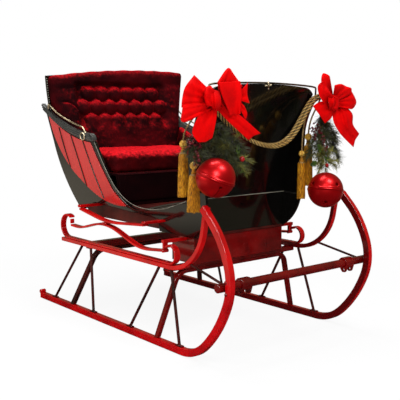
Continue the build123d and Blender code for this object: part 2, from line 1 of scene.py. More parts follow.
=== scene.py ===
# %% [markdown]
# A one-horse sleigh, dressed for a winter holiday. The construction comes in as a fixed frame of named nodes in
# metres, +X forward, +Y to the sleigh's left, +Z up. This file gives every surface its finish and builds the soft
# and small things: tufted velvet, ribbon bows, jingle bells, tassels, twisted rope and sprays of pine. Nodes could
# be modelled again here, but a frame that was measured once keeps every part in its true place.

# %% Load the frame
import json
import math
import random

import bmesh
import bpy
import numpy as np
from mathutils import Matrix, Vector, noise

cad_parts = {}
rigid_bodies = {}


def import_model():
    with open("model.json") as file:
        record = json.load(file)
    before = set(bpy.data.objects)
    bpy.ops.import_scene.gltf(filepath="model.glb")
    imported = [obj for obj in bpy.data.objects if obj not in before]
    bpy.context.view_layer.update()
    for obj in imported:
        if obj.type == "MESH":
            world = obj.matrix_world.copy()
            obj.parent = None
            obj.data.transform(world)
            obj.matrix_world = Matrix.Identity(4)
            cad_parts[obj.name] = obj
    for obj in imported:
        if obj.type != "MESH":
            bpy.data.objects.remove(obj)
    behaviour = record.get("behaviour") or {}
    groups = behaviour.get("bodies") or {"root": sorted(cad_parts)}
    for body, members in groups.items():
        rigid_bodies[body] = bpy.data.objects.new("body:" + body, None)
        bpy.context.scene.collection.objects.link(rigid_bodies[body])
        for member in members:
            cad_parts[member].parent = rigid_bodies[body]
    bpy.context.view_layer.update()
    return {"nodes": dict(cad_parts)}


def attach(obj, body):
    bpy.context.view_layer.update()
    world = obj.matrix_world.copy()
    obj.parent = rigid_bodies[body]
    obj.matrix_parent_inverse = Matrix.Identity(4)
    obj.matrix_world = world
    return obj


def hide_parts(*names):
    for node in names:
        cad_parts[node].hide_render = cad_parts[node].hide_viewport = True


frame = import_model()
NODES = frame["nodes"]
BODY = "root"
SIDES = {"right": -1, "left": 1}
TAU = 2 * math.pi
scene = bpy.context.scene

# %% [markdown]
# The camera stands a little above seat height, off the right front corner, and looks slightly down. It could be
# aimed by a constraint at an empty object. A place, a heading and a pitch in real metres and degrees are used
# instead, because they stay right when a piece is moved.

# %% Camera
EYE = Vector((3.0906, -2.5146, 1.1323))
HEADING = math.radians(140.14)
PITCH = math.radians(6.94)
LENS_MM, SENSOR_MM = 64.94, 36.0


def add_piece(name, data):
    """Put data into the scene as an object of its own."""
    piece = bpy.data.objects.new(name, data)
    scene.collection.objects.link(piece)
    return piece


camera_data = bpy.data.cameras.new("camera")
camera_data.lens = LENS_MM
camera_data.sensor_width = SENSOR_MM
camera_data.clip_end = 60
camera = add_piece("camera", camera_data)
looking = Vector((math.cos(HEADING) * math.cos(PITCH), math.sin(HEADING) * math.cos(PITCH), -math.sin(PITCH)))
camera.location = EYE
camera.rotation_mode = "QUATERNION"
camera.rotation_quaternion = looking.to_track_quat("-Z", "Y")
scene.camera = camera
print("camera at", tuple(EYE), "lens", LENS_MM, "mm")

# %% [markdown]
# A shader is a tree of nodes. It could be drawn by hand in the node editor, or built with many lines that add a node
# and link it. Written as an expression, the same maths fits on one line and can be read. A Wire is one output
# socket, and each operator on it adds a Math node.

# %% Wires


class Wire:
    """One output socket. Arithmetic on it adds Math nodes to its tree."""

    def __init__(self, tree, socket):
        self.tree = tree
        self.socket = socket

    def __add__(self, other):
        return self.tree.maths("ADD", self, other)

    def __radd__(self, other):
        return self.tree.maths("ADD", other, self)

    def __sub__(self, other):
        return self.tree.maths("SUBTRACT", self, other)

    def __rsub__(self, other):
        return self.tree.maths("SUBTRACT", other, self)

    def __mul__(self, other):
        return self.tree.maths("MULTIPLY", self, other)

    def __rmul__(self, other):
        return self.tree.maths("MULTIPLY", other, self)

    def __truediv__(self, other):
        return self.tree.maths("DIVIDE", self, other)

# %% [markdown]
# Any other node comes from one method: its type, its settings, which are set first, and the values or links of its
# sockets by name or number. Shader trees and geometry trees work in the same way, so one class serves both.

# %% Trees


class Tree:
    """A node tree that is written as calls."""

    def __init__(self, nodes):
        self.nodes = nodes

    def node(self, kind, settings=None, sockets=None, out=0):
        """Add a node, give it its settings, feed its sockets, and return the Wire of one output."""
        made = self.nodes.nodes.new(kind)
        for setting, value in (settings or {}).items():
            setattr(made, setting, value)
        for key, value in (sockets or {}).items():
            if isinstance(value, Wire):
                self.nodes.links.new(value.socket, made.inputs[key])
            elif value is not None:
                made.inputs[key].default_value = value
        return Wire(self, made.outputs[out]) if made.outputs else made

    def maths(self, operation, *values):
        return self.node("ShaderNodeMath", {"operation": operation}, dict(enumerate(values)))

    def vector(self, operation, *values, out=0):
        return self.node("ShaderNodeVectorMath", {"operation": operation}, dict(enumerate(values)), out)

    def scaled(self, vector, factor):
        return self.node("ShaderNodeVectorMath", {"operation": "SCALE"}, {"Vector": vector, "Scale": factor})

    def axis(self, vector, which):
        return self.node("ShaderNodeSeparateXYZ", None, {0: vector}, which)

    def blend(self, share, first, second):
        """A shader between two shaders."""
        return self.node("ShaderNodeMixShader", None, {0: share, 1: first, 2: second})

# %% [markdown]
# A finish is one material with one surface shader. Its patterns read object coordinates, which here are metres in
# the sleigh's own frame, so a scratch or a cloud of dust keeps its real size on every piece, and no piece needs an
# unwrapped map. Colours are written as a screen shows them and turned into linear light.

# %% Finishes


class Finish(Tree):
    """A material. Its patterns read object coordinates, which are metres in the sleigh's own frame."""

    def __init__(self, name):
        self.material = bpy.data.materials.new(name)
        self.material.use_nodes = True
        super().__init__(self.material.node_tree)
        self.nodes.nodes.clear()
        self.place = self.node("ShaderNodeTexCoord", out="Object")

    def noise(self, scale, detail=2.0, roughness=0.5, place=None, stretch=None):
        """Noise with `scale` waves to the metre; `stretch` multiplies each axis."""
        place = place or self.place
        if stretch:
            place = self.vector("MULTIPLY", place, stretch)
        sockets = {"Vector": place, "Scale": scale, "Detail": detail, "Roughness": roughness}
        return self.node("ShaderNodeTexNoise", None, sockets)

    def step(self, value, low, high):
        """0 below `low`, 1 above `high`, smooth between."""
        return self.node("ShaderNodeMapRange", {"interpolation_type": "SMOOTHSTEP"},
                         {"Value": value, "From Min": low, "From Max": high})

    def mix(self, mask, first, second):
        """A colour between two colours."""
        return self.node("ShaderNodeMix", {"data_type": "RGBA"}, {0: mask, 6: first, 7: second}, 2)

    def bump(self, height, millimetres, strength=1.0):
        sockets = {"Height": height, "Distance": millimetres / 1000, "Strength": strength}
        return self.node("ShaderNodeBump", None, sockets)

    def facing(self, which):
        """One part of the way that the face looks."""
        return self.axis(self.node("ShaderNodeNewGeometry", out="Normal"), which)

    def show(self, shader):
        self.node("ShaderNodeOutputMaterial", None, {"Surface": shader})
        return self.material

    def surface(self, **sockets):
        """The one shader of the finish; keys are socket names with _ for a space."""
        named = {key.replace("_", " "): value for key, value in sockets.items()}
        return self.show(self.node("ShaderNodeBsdfPrincipled", None, named))


def rgb(red, green, blue):
    """A colour as a screen shows it (0-255), as the linear light that shaders take."""
    parts = [v / 255 / 12.92 if v <= 10.3 else ((v / 255 + 0.055) / 1.055) ** 2.4 for v in (red, green, blue)]
    return (*parts, 1.0)

# %% [markdown]
# Gloss paint shows whatever stands around it, so the studio matters as much as the paint. Four broad soft lamps
# light the front, the near side, the crown of the dash and the top. The world is white only to the eye: it lights
# with a dim grey and shows mirrors a dim warm brown. A world that is white to mirrors too would be simpler, but it
# would turn dark gloss grey; this way the lamps alone draw the bright lines on it.

# %% Studio
scene.view_settings.view_transform = "Standard"

world = bpy.data.worlds.new("studio")
scene.world = world
world.use_nodes = True
sky = Tree(world.node_tree)
sky.nodes.nodes.clear()
seen = sky.node("ShaderNodeBackground", None, {"Color": (1, 1, 1, 1), "Strength": 1.0})
lighting = sky.node("ShaderNodeBackground", None, {"Color": (0.93, 0.96, 1, 1), "Strength": 0.24})
surround = sky.node("ShaderNodeBackground", None, {"Color": (1, 0.86, 0.55, 1), "Strength": 0.13})
mirrored = sky.blend(sky.node("ShaderNodeLightPath", out="Is Glossy Ray"), lighting, surround)
shown = sky.blend(sky.node("ShaderNodeLightPath", out="Is Camera Ray"), mirrored, seen)
sky.node("ShaderNodeOutputWorld", None, {"Surface": shown})


def softbox(name, place, aim, size, watts):
    lamp_data = bpy.data.lights.new(name, "AREA")
    lamp_data.shape = "RECTANGLE"
    lamp_data.size, lamp_data.size_y = size
    lamp_data.energy = watts
    lamp = add_piece(name, lamp_data)
    lamp.location = place
    lamp.rotation_mode = "QUATERNION"
    lamp.rotation_quaternion = (Vector(aim) - Vector(place)).to_track_quat("-Z", "Y")


softbox("front_lamp", (2.7, -1.9, 2.3), (0.2, -0.3, 0.7), (1.0, 1.0), 44)
softbox("side_lamp", (-0.4, -2.7, 1.5), (0, -0.3, 0.6), (1.6, 0.8), 30)
softbox("crown_lamp", (2.1, 0.2, 3.2), (0.4, -0.2, 0.9), (0.9, 0.9), 42)
softbox("top_lamp", (-0.4, 0.1, 4.0), (0, 0, 0.7), (1.8, 1.8), 110)
print("lamps", len(bpy.data.lights))

# %% [markdown]
# The floor is a plain pale sheet under the runners. A floor made invisible would lose the shadow that sets the
# sleigh on the ground, so it is a real sheet, wide enough to reach past every edge of the view.

# %% Floor
FLOOR_HALF = 14
floor_data = bpy.data.meshes.new("floor")
floor_data.from_pydata([(x * FLOOR_HALF, y * FLOOR_HALF, 0) for x, y in ((-1, -1), (1, -1), (1, 1), (-1, 1))], [],
                       [(0, 1, 2, 3)])
floor = add_piece("floor", floor_data)
print(floor.name, 2 * FLOOR_HALF, "m wide")

# %% [markdown]
# The floor has a faint mottle in its white. A camera ray sees it mixed with plain white, so that it melts into the
# background and still keeps the sleigh's own shadow. Mirrors see no lit floor but a painted reflection: a dim glow
# near the sleigh as painted shadow, and a warm glow further off that paints an olive reflection on the black paint.

# %% Floor finish
paper = Finish("pale_floor")
mottle = paper.mix(paper.noise(6, 3), rgb(236, 236, 236), rgb(246, 246, 246))
chalk = paper.node("ShaderNodeBsdfDiffuse", None, {"Color": mottle})
# Mirrors see glows, not the lit floor: this dim one near the sleigh is painted shadow, the warm one painted
# reflection.
dark = paper.node("ShaderNodeEmission", None, {"Color": rgb(60, 56, 50), "Strength": 0.35})
painted_olive_reflection = paper.node("ShaderNodeEmission", None, {"Color": rgb(255, 242, 216), "Strength": 0.46})
glow = paper.node("ShaderNodeEmission", None, {"Color": (1, 1, 1, 1), "Strength": 1.0})
sees = paper.node("ShaderNodeLightPath", out="Is Camera Ray")
mirrors = paper.node("ShaderNodeLightPath", out="Is Glossy Ray")
far_off = paper.vector("LENGTH", paper.place, out=1)
ahead = paper.step(paper.axis(paper.place, "X"), 0.35, 0.9)
painted_reflection_band = paper.step(far_off, 1.3, 2.3) * (1 - 0.6 * paper.step(far_off, 3.0, 5.0)) * (1 - 0.9 * ahead)
painted_reflections = paper.blend(painted_reflection_band, dark, painted_olive_reflection)
dimmed = paper.blend(mirrors, chalk, painted_reflections)
fade = paper.step(far_off, 1.0, 2.6)
floor_data.materials.append(paper.show(paper.blend(sees * (0.9 + 0.1 * fade), dimmed, glow)))
print("floor finish", len(paper.nodes.nodes), "nodes")

# %% [markdown]
# Carriage paint is many thin coats, rubbed down and varnished. Up close it has a faint orange peel, a haze of dust
# that gathers on upward faces, and fine rubs. Each colour could be its own tree; one function makes them all, so
# that they age alike. The running gear is bright red outside, and the faces that look in towards the middle are
# painted a deeper red as painted shade, which a mask from the surface's own direction gives without a second
# material.

# %% Gloss paint


def looks_inwards(paint):
    """1 on faces that look towards the middle of the sleigh, 0 on the others."""
    which_side = paint.maths("SIGN", paint.axis(paint.place, 1))
    return paint.step(0 - paint.facing(1) * which_side, 0.3, 0.7)


def gloss_paint(name, colour, shade, rough=0.16, coat=0.5, dusty=0.025, mirror=0.35, inner=None):
    """Old carriage paint: two tones in clouds, rubs, dust on upward faces, and `inner` as painted shade on inward
    faces.
    """
    paint = Finish(name)
    clouds = paint.noise(7, 4, 0.6)
    rubs = paint.noise(60, 5, 0.7, stretch=(0.25, 1.0, 1.0))
    base = paint.mix(paint.step(clouds, 0.3, 0.7), rgb(*shade), rgb(*colour))
    # Painted shade: faces that look in towards the middle take the darker inner colour.
    if inner:
        base = paint.mix(looks_inwards(paint), base, rgb(*inner))
    dust = paint.step(paint.facing(2), 0.2, 0.95) * paint.step(rubs, 0.4, 0.75) * dusty
    return paint.surface(
        Base_Color=paint.mix(dust, base, rgb(120, 112, 100)),
        Specular_IOR_Level=mirror,
        Roughness=rough + 0.12 * paint.step(rubs, 0.45, 0.8) + dust,
        Coat_Weight=coat,
        Coat_Roughness=0.04,
        Normal=paint.bump(paint.noise(900, 2), 0.02, 0.06),
    )


# The deeper red on faces that look in towards the middle is painted shade.
INWARD_SHADE_RED = (92, 4, 6)
RED_GLOSS = gloss_paint("red_gloss", (206, 4, 8), (164, 2, 5), mirror=0.28, inner=INWARD_SHADE_RED)
RED_WOOD = gloss_paint("red_wood", (118, 4, 4), (80, 2, 2), rough=0.2, dusty=0.01, coat=0.8)
MAROON = gloss_paint("maroon_gloss", (84, 26, 20), (50, 12, 10), rough=0.32, coat=0.12, mirror=0.25)
BLACK = gloss_paint("black_gloss", (8, 7, 7), (4, 4, 4), rough=0.14, coat=0.7, dusty=0.01, mirror=0.5)
IRON = gloss_paint("dark_iron", (74, 16, 12), (34, 7, 6), rough=0.3, coat=0.2)
MOULDING = gloss_paint("moulding", (66, 67, 64), (44, 45, 44), rough=0.26, coat=0.4)
STEEL_BOLT = gloss_paint("bolt_paint", (160, 20, 22), (104, 10, 12), rough=0.25)
print("gloss paints", [p.name for p in (RED_GLOSS, RED_WOOD, MAROON, BLACK, IRON, MOULDING, STEEL_BOLT)])

# %% [markdown]
# The shoes of the runners are painted wood over a steel sole. Snow and gravel take the paint off the sole and the
# edge above it. A painted mask could show that; here the height above the ground and a ragged noise decide it, so
# the line of bare, scratched steel stays a few millimetres high however the runner curves.

# %% Runner finish
shoe = Finish("runner_gloss")
ragged = shoe.noise(28, 5, 0.7, stretch=(0.5, 1, 1))
bare = 1 - shoe.step(shoe.axis(shoe.place, 2), 0.0015, 0.0045)
worn = shoe.step(bare + (ragged - 0.5) * 0.9, 0.45, 0.6)
scratches = shoe.noise(90, 4, 0.8, stretch=(0.06, 1, 1))
base = shoe.mix(shoe.step(shoe.noise(6, 4, 0.6), 0.3, 0.7), rgb(154, 3, 8), rgb(200, 6, 12))
# Painted shade: the faces that look in towards the middle are painted a deeper red.
base = shoe.mix(looks_inwards(shoe), base, rgb(*INWARD_SHADE_RED))
steel = shoe.mix(scratches, rgb(92, 90, 88), rgb(150, 148, 146))
RUNNER_RED = shoe.surface(
    Base_Color=shoe.mix(worn, base, steel),
    Metallic=worn,
    Roughness=0.14 + 0.10 * shoe.step(scratches, 0.5, 0.8) + 0.2 * worn,
    Coat_Weight=(1 - worn) * 0.6,
    Coat_Roughness=0.04,
    Specular_IOR_Level=0.35,
    Normal=shoe.bump(shoe.noise(900, 2), 0.02, 0.06),
)
print(RUNNER_RED.name, len(shoe.nodes.nodes), "nodes")

# %% [markdown]
# The quarter panels are a lighter red with random pink patches, pinker still near the top as a painted highlight,
# with the streaks that a brush leaves from the arm rail down. Noise that is stretched upright gives the streaks, and
# the height gives the painted highlight, so that both run the way they do on a standing panel.

# %% Quarter panel finish
quarter_paint = Finish("quarter_red")
brushed = quarter_paint.noise(16, 3, 0.5, stretch=(1.0, 1.0, 0.12))
# Pinker towards the top is a painted highlight.
up = quarter_paint.step(quarter_paint.axis(quarter_paint.place, 2), 0.62, 1.12)
patchy = quarter_paint.noise(4.5, 3)
pink_patches_and_highlight = quarter_paint.mix(up * 0.8 + (patchy - 0.5) * 0.4, rgb(198, 24, 24), rgb(200, 74, 72))
QUARTER = quarter_paint.surface(
    Base_Color=quarter_paint.mix(quarter_paint.step(brushed, 0.38, 0.72) * 0.25, pink_patches_and_highlight, rgb(168, 36, 36)),
    Roughness=0.26 + 0.12 * quarter_paint.step(brushed, 0.4, 0.8),
    Coat_Weight=0.4,
    Coat_Roughness=0.1,
    Normal=quarter_paint.bump(brushed, 0.05, 0.2),
)
print(QUARTER.name, len(quarter_paint.nodes.nodes), "nodes")

# %% [markdown]
# The hand rails and the rein rail are silvered brass that has gone the colour of old ivory, with darker tarnish in
# its patches and a roughness that follows it. Plain metal with one roughness would look new. The welting beside it
# is a dull twill, fine enough for noise to stand for its weave.

# %% Silvered brass and welting


def old_brass(name, bright, tarnished):
    metal = Finish(name)
    tarnish = metal.step(metal.noise(38, 5, 0.7), 0.42, 0.7)
    return metal.surface(
        Base_Color=metal.mix(tarnish * 0.7, rgb(*bright), rgb(*tarnished)),
        Metallic=1 - 0.5 * tarnish,
        Roughness=0.26 + 0.25 * tarnish,
        Normal=metal.bump(metal.noise(300, 3), 0.05, 0.3),
    )


BRASS = old_brass("brass_rail", (248, 232, 196), (180, 156, 112))
DARK_BRASS = old_brass("rein_brass", (112, 100, 76), (44, 38, 28))

trim = Finish("piping")
twill = trim.noise(700, 2, stretch=(1, 1, 1.6))
stained = trim.mix(trim.step(trim.noise(14, 4), 0.35, 0.75), rgb(150, 146, 130), rgb(92, 88, 76))
PIPING = trim.surface(
    Base_Color=trim.mix(twill * 0.5, stained, rgb(92, 88, 76)),
    Roughness=0.6 + 0.2 * twill,
    Normal=trim.bump(twill, 0.2, 0.5),
)
print("metal and welt", BRASS.name, DARK_BRASS.name, PIPING.name)

# %% [markdown]
# Velvet is a pile of short upright threads. It looks black where one looks down into the pile, and lights up red
# where the surface turns away. Real fibres would cost millions of hairs, so the sheen lobe gives that rim of light.
# Strokes of a hand leave the pile lying this way and that, so broad patches and small crushed marks change its
# colour. Faces that look up are painted in the brightest tone as a painted highlight.

# %% Velvet


def velvet(name, deep, bright, crushed_and_top_highlight, lit=0.5, glow=0.18):
    """Pile of three tones and a painted highlight on upward faces; `lit` is the share of brushed patches and `glow`
    the sheen.
    """
    pile = Finish(name)
    strokes = pile.noise(7, 3, 0.5, stretch=(1, 0.7, 1.3))
    bruises = pile.noise(60, 4, 0.6)
    grain = pile.noise(1500, 2)
    # Faces that look up take the bright crushed tone: a painted highlight.
    painted_top_highlight = pile.step(pile.facing(2) + (bruises - 0.5) * 0.5, 0.16, 1.0)
    base = pile.mix(pile.step(strokes, 0.35, 0.70) * lit, rgb(*deep), rgb(*bright))
    base = pile.mix(painted_top_highlight * (0.2 + 1.3 * pile.step(bruises, 0.2, 0.8)), base, rgb(*crushed_and_top_highlight))
    base = pile.mix(pile.step(bruises, 0.66, 0.74) * 0.3, base, rgb(*crushed_and_top_highlight))
    return pile.surface(
        Base_Color=pile.mix(grain * 0.3, base, rgb(*deep)),
        Roughness=0.62 + 0.25 * grain,
        Sheen_Weight=glow,
        Sheen_Roughness=0.3,
        Sheen_Tint=rgb(255, 16, 22),
        Specular_IOR_Level=0.04,
        Normal=pile.bump(grain * 0.3 + bruises, 0.9, 0.6),
    )


VELVET = velvet("velvet", (24, 0, 2), (76, 1, 7), (180, 6, 17), lit=0.75)
CUSHION_VELVET = velvet("cushion_cloth", (40, 0, 2), (92, 2, 7), (216, 20, 30), lit=0.66)
DARK_VELVET = velvet("velvet_dark", (14, 1, 2), (30, 2, 4), (56, 4, 7), glow=0.05)
print("velvets", VELVET.name, CUSHION_VELVET.name, DARK_VELVET.name)

# %% [markdown]
# The bows are stiff outdoor velvet ribbon of a flat, very pure red with a fine rib across. Random patches of the
# cloth are painted darker as painted shade in its folds. Near a knot the cloth is gathered and holds its own
# shadow, which light alone would leave too bright in so thin a sheet. So the red is painted darker near each knot,
# a painted shadow.

# %% Ribbon cloth
KNOTS = [(0.650, -0.388, 1.190), (0.650, 0.372, 1.222)]
satin = Finish("ribbon_satin")
rib = satin.noise(1300, 2, stretch=(1, 1, 0.3))
folds_and_fold_shade = satin.noise(18, 4, 0.6)
# Darker patches from the crease noise are painted shade in the folds.
shaded_ribbon_red = satin.mix(satin.step(folds_and_fold_shade, 0.35, 0.7) * 0.6, rgb(222, 0, 1), rgb(176, 0, 1))
# Painted shadow: the red is darker near each knot.
for knot in KNOTS:
    from_knot = satin.vector("LENGTH", satin.vector("SUBTRACT", satin.place, knot), out=1)
    shaded_ribbon_red = satin.mix((1 - satin.step(from_knot, 0.02, 0.13)) * 0.55, shaded_ribbon_red, rgb(120, 0, 1))
RIBBON_CLOTH = satin.surface(
    Base_Color=shaded_ribbon_red,
    Roughness=0.7 + 0.15 * rib,
    Specular_IOR_Level=0.05,
    Normal=satin.bump(rib * 0.15 + folds_and_fold_shade, 0.8, 0.5),
)
print(RIBBON_CLOTH.name, "is darker round", len(KNOTS), "knots")

# %% [markdown]
# The bells wear a metallic lacquer: colour over a bright base, with flecks too small to see one by one. A full metal
# would mirror the whole studio, so it is partly metal, a little rough, with a thin clear coat and a few smears.

# %% Bell lacquer
lacquer = Finish("bell_red")
smears = lacquer.noise(12, 4, 0.6)
BELL_RED = lacquer.surface(
    Base_Color=lacquer.mix(smears * 0.5, rgb(214, 4, 14), rgb(170, 1, 8)),
    Metallic=0.75,
    Roughness=0.32 + 0.10 * smears,
    Specular_IOR_Level=0.4,
    Coat_Weight=0.25,
    Coat_Roughness=0.2,
    Normal=lacquer.bump(lacquer.noise(2400, 1), 0.02, 0.3),
)
print(BELL_RED.name, len(lacquer.nodes.nodes), "nodes")

# %% [markdown]
# Rope, cord and fringe are silk. Each thread is thinner than a pixel from a few steps away, so the threads are
# streaks of three tones along the piece, while the recipes further down give the strands their real shape.

# %% Silk thread


def thread(name, light, mid, dark, scale=520):
    """Silky thread: fine streaks between three tones."""
    silk = Finish(name)
    streak = silk.noise(scale, 3, 0.6, stretch=(1, 1, 0.10))
    worn = silk.noise(20, 4)
    base = silk.mix(silk.step(streak, 0.35, 0.65), rgb(*dark), rgb(*mid))
    return silk.surface(
        Base_Color=silk.mix(silk.step(streak * 0.6 + worn * 0.4, 0.5, 0.68), base, rgb(*light)),
        Roughness=0.38 + 0.2 * streak,
        Specular_IOR_Level=0.25,
        Normal=silk.bump(streak, 0.3, 0.5),
    )


GOLD_FRINGE = thread("gold_fringe", (246, 182, 40), (208, 136, 10), (96, 52, 0))
GOLD_CORD = thread("gold_cord", (255, 224, 146), (212, 168, 88), (110, 76, 28))
GOLD_KNOB = thread("gold_knob", (255, 224, 120), (232, 180, 70), (160, 108, 24), scale=200)
PALE_CORD = thread("pale_cord", (252, 222, 160), (198, 156, 92), (88, 58, 26))
# The dark cord fills the grooves of laid rope as painted shadow.
GROOVE_SHADOW_CORD = thread("dark_cord", (52, 34, 14), (32, 20, 8), (14, 8, 4))
print("threads", [silk.name for silk in (GOLD_FRINGE, GOLD_CORD, GOLD_KNOB, PALE_CORD, GROOVE_SHADOW_CORD)])

# %% [markdown]
# Greenery is waxy and never one colour: old needles are dark, young shoots yellow. A texture map for each kind would
# need unwrapping, so one function mottles between two tones, and each kind differs by its tones and its gloss.

# %% Leaves, berries and bark


def leafy(name, light, dark, rough=0.5):
    """Leaf, berry or bark: mottled between two tones, with fine veins."""
    leaf = Finish(name)
    tone = leaf.noise(45, 4, 0.7)
    vein = leaf.noise(320, 2, stretch=(1, 1, 0.3))
    return leaf.surface(
        Base_Color=leaf.mix(leaf.step(tone, 0.35, 0.68), rgb(*dark), rgb(*light)),
        Roughness=rough + 0.2 * vein,
        Normal=leaf.bump(vein, 0.2, 0.4),
    )


NEEDLE = leafy("pine", (74, 80, 26), (12, 19, 5))
PALE_NEEDLE = leafy("pine_young", (140, 136, 44), (66, 68, 20))
HOLLY = leafy("holly", (66, 92, 20), (22, 44, 12), rough=0.25)
TWIG = leafy("twig", (64, 44, 30), (26, 16, 12), rough=0.7)
BERRY = leafy("berry", (124, 20, 34), (62, 8, 16), rough=0.25)
BRIGHT_BERRY = leafy("bright_berry", (186, 10, 20), (120, 2, 10), rough=0.15)
BUD = leafy("bud", (24, 20, 22), (6, 5, 6), rough=0.4)
print("finishes", len(bpy.data.materials))

# %% [markdown]
# Geometry nodes make what repeats or follows a line. A recipe is such a tree with named inputs for its sizes. The
# last two steps of every recipe are the same: instances become real, because a piece has to stand as plain faces,
# and they take one finish.

# %% Recipes
SHARP = math.radians(33)


class Recipe(Tree):
    """A geometry-node tree with named inputs."""

    def __init__(self, name):
        super().__init__(bpy.data.node_groups.new(name, "GeometryNodeTree"))
        for way in ("INPUT", "OUTPUT"):
            self.nodes.interface.new_socket("Geometry", in_out=way, socket_type="NodeSocketGeometry")
        self.inlet = self.nodes.nodes.new("NodeGroupInput")
        self.outlet = self.nodes.nodes.new("NodeGroupOutput")
        self.ids = {}
        self.shape = Wire(self, self.inlet.outputs["Geometry"])

    def size(self, name, value, kind="Float"):
        socket = self.nodes.interface.new_socket(name, in_out="INPUT", socket_type="NodeSocket" + kind)
        socket.default_value = value
        self.ids[name] = socket.identifier
        return Wire(self, self.inlet.outputs[name])

    def pick(self, low, high, number=None, seed=1):
        """A random number between two limits, one for each element."""
        return self.node("FunctionNodeRandomValue", {"data_type": "FLOAT"},
                         {2: low, 3: high, "ID": number, "Seed": seed}, 1)

    def rounded(self, line, sides, radius):
        """A round section swept along curves, with closed ends and soft shading."""
        section = self.node("GeometryNodeCurvePrimitiveCircle", None, {"Resolution": sides, "Radius": radius})
        solid = self.node("GeometryNodeCurveToMesh", None,
                          {"Curve": line, "Profile Curve": section, "Fill Caps": True})
        return self.node("GeometryNodeSetShadeSmooth", None, {"Geometry": solid, "Shade Smooth": True})

    def done(self, shape):
        self.nodes.links.new(shape.socket, self.outlet.inputs["Geometry"])
        return self

    def finished(self, shape, finish):
        """Close the recipe: instances become real and take one finish."""
        real = self.node("GeometryNodeRealizeInstances", None, {"Geometry": shape})
        return self.done(self.node("GeometryNodeSetMaterial", None, {"Geometry": real, "Material": finish}))

# %% [markdown]
# The frame's pieces keep their shapes. A small recipe merges the loose triangles and drops their stored normals,
# flat faces are dissolved, and a bevel takes the knife edge off every corner, because paint and light both need an
# edge with a radius. The edges could be rounded in the construction itself, at the price of many more faces;
# modifiers leave the mesh itself as it is.

# %% The edge modifiers
tidy_faces = Recipe("tidy_faces")
merged = tidy_faces.node("GeometryNodeMergeByDistance", None, {"Geometry": tidy_faces.shape, "Distance": 2e-5})
plain = tidy_faces.node("GeometryNodeRemoveAttribute", None, {"Geometry": merged, "Name": "custom_normal"})
tidy_faces.done(tidy_faces.node("GeometryNodeSetShadeSmooth", None, {"Geometry": plain, "Shade Smooth": True}))


def soften(node, width, finish):
    piece = NODES[node]
    piece.data.materials.clear()
    piece.data.materials.append(finish)
    piece.modifiers.new("tidy", "NODES").node_group = tidy_faces.nodes
    flat = piece.modifiers.new("flat", "DECIMATE")
    flat.decimate_type = "DISSOLVE"
    flat.angle_limit = math.radians(0.6)
    edge = piece.modifiers.new("edge", "BEVEL")
    edge.limit_method = "ANGLE"
    edge.angle_limit = SHARP
    edge.width = width
    edge.segments = 2
    edge.harden_normals = True
    return piece

# %% [markdown]
# Every node wears one finish, and heavy timber has a wider round than sheet metal. One table says both, so that a
# change of paint is a change of one line.

# %% Finish each node
EDGES = {
    RUNNER_RED: (4e-3, ["runner_left", "runner_right"]),
    RED_GLOSS: (3e-3, ["rail_left", "rail_right", "strap_left", "strap_right", "lower_leaves", "upper_leaves",
                       "spring_clips", "front_hangers", "rear_shackles", "spring_brackets"]),
    RED_WOOD: (4e-3, ["bolster", "front_bench", "rear_bench", "shaft_bar", "shaft_lugs", "front_bow"]),
    IRON: (1.5e-3, ["bar_stays", "braces_left", "braces_right", "rear_bow"]),
    MAROON: (3e-3, ["body_sills", "floor_pan"]),
    BLACK: (1.5e-3, ["side_panel_left", "side_panel_right", "dash_panel", "toe_panel", "back_panel",
                     "panel_ribs", "entry_beads"]),
    MOULDING: (3e-3, ["arm_rail_left", "arm_rail_right"]),
    QUARTER: (1.5e-3, ["quarter_panel_left", "quarter_panel_right"]),
    DARK_VELVET: (3e-3, ["seat_box"]),
}
for finish, (width, members) in EDGES.items():
    for member in members:
        soften(member, width, finish)
print("softened", sum(len(members) for _, members in EDGES.values()), "nodes")

# %% [markdown]
# Two ropes loop across the front of the dash, side by side, and a thinner cord carries each tassel. A hanging rope
# could be left to a solver, but its ends and its lowest point are known here, so each route is a short list of
# places that can be moved by hand.

# %% Routes of the ropes
SWAG = [(-0.392, 1.180), (-0.340, 1.126), (-0.262, 1.060), (-0.170, 1.010), (-0.060, 0.975), (0.045, 0.966),
        (0.135, 1.002), (0.205, 1.082), (0.262, 1.160), (0.310, 1.205), (0.368, 1.216)]
STRANDS = {"rear": (0.607, 0.004), "front": (0.627, -0.004)}
TASSEL_CORDS = {
    "right": {"outer": [(0.592, -0.402, 1.170), (0.556, -0.404, 1.140), (0.500, -0.405, 1.095),
                        (0.452, -0.405, 1.045), (0.440, -0.404, 1.000), (0.441, -0.404, 0.935),
                        (0.440, -0.404, 0.872)],
              "inner": [(0.604, -0.402, 1.170), (0.580, -0.409, 1.105), (0.548, -0.414, 1.040),
                        (0.532, -0.417, 0.970), (0.530, -0.415, 0.905), (0.531, -0.415, 0.850),
                        (0.530, -0.415, 0.795)]},
    "left": {"outer": [(0.600, 0.378, 1.206), (0.594, 0.356, 1.160), (0.586, 0.332, 1.115), (0.581, 0.316, 1.068),
                       (0.579, 0.311, 1.022), (0.580, 0.311, 0.960), (0.579, 0.311, 0.898)],
             "inner": [(0.590, 0.368, 1.208), (0.590, 0.325, 1.182), (0.588, 0.284, 1.125), (0.585, 0.262, 1.040),
                       (0.584, 0.258, 0.935), (0.585, 0.258, 0.880), (0.584, 0.258, 0.826)]},
}
print("routes", len(STRANDS), "for the swag and", sum(len(pair) for pair in TASSEL_CORDS.values()), "for tassels")

# %% [markdown]
# A route becomes one smooth NURBS line, which passes softly by its places without a kink. These helpers turn a line
# into points or into a round rod, and any live piece into a plain mesh. A closed mesh has its normals turned
# outwards, and a profile that meets its own axis is welded there.

# %% Lines and meshes


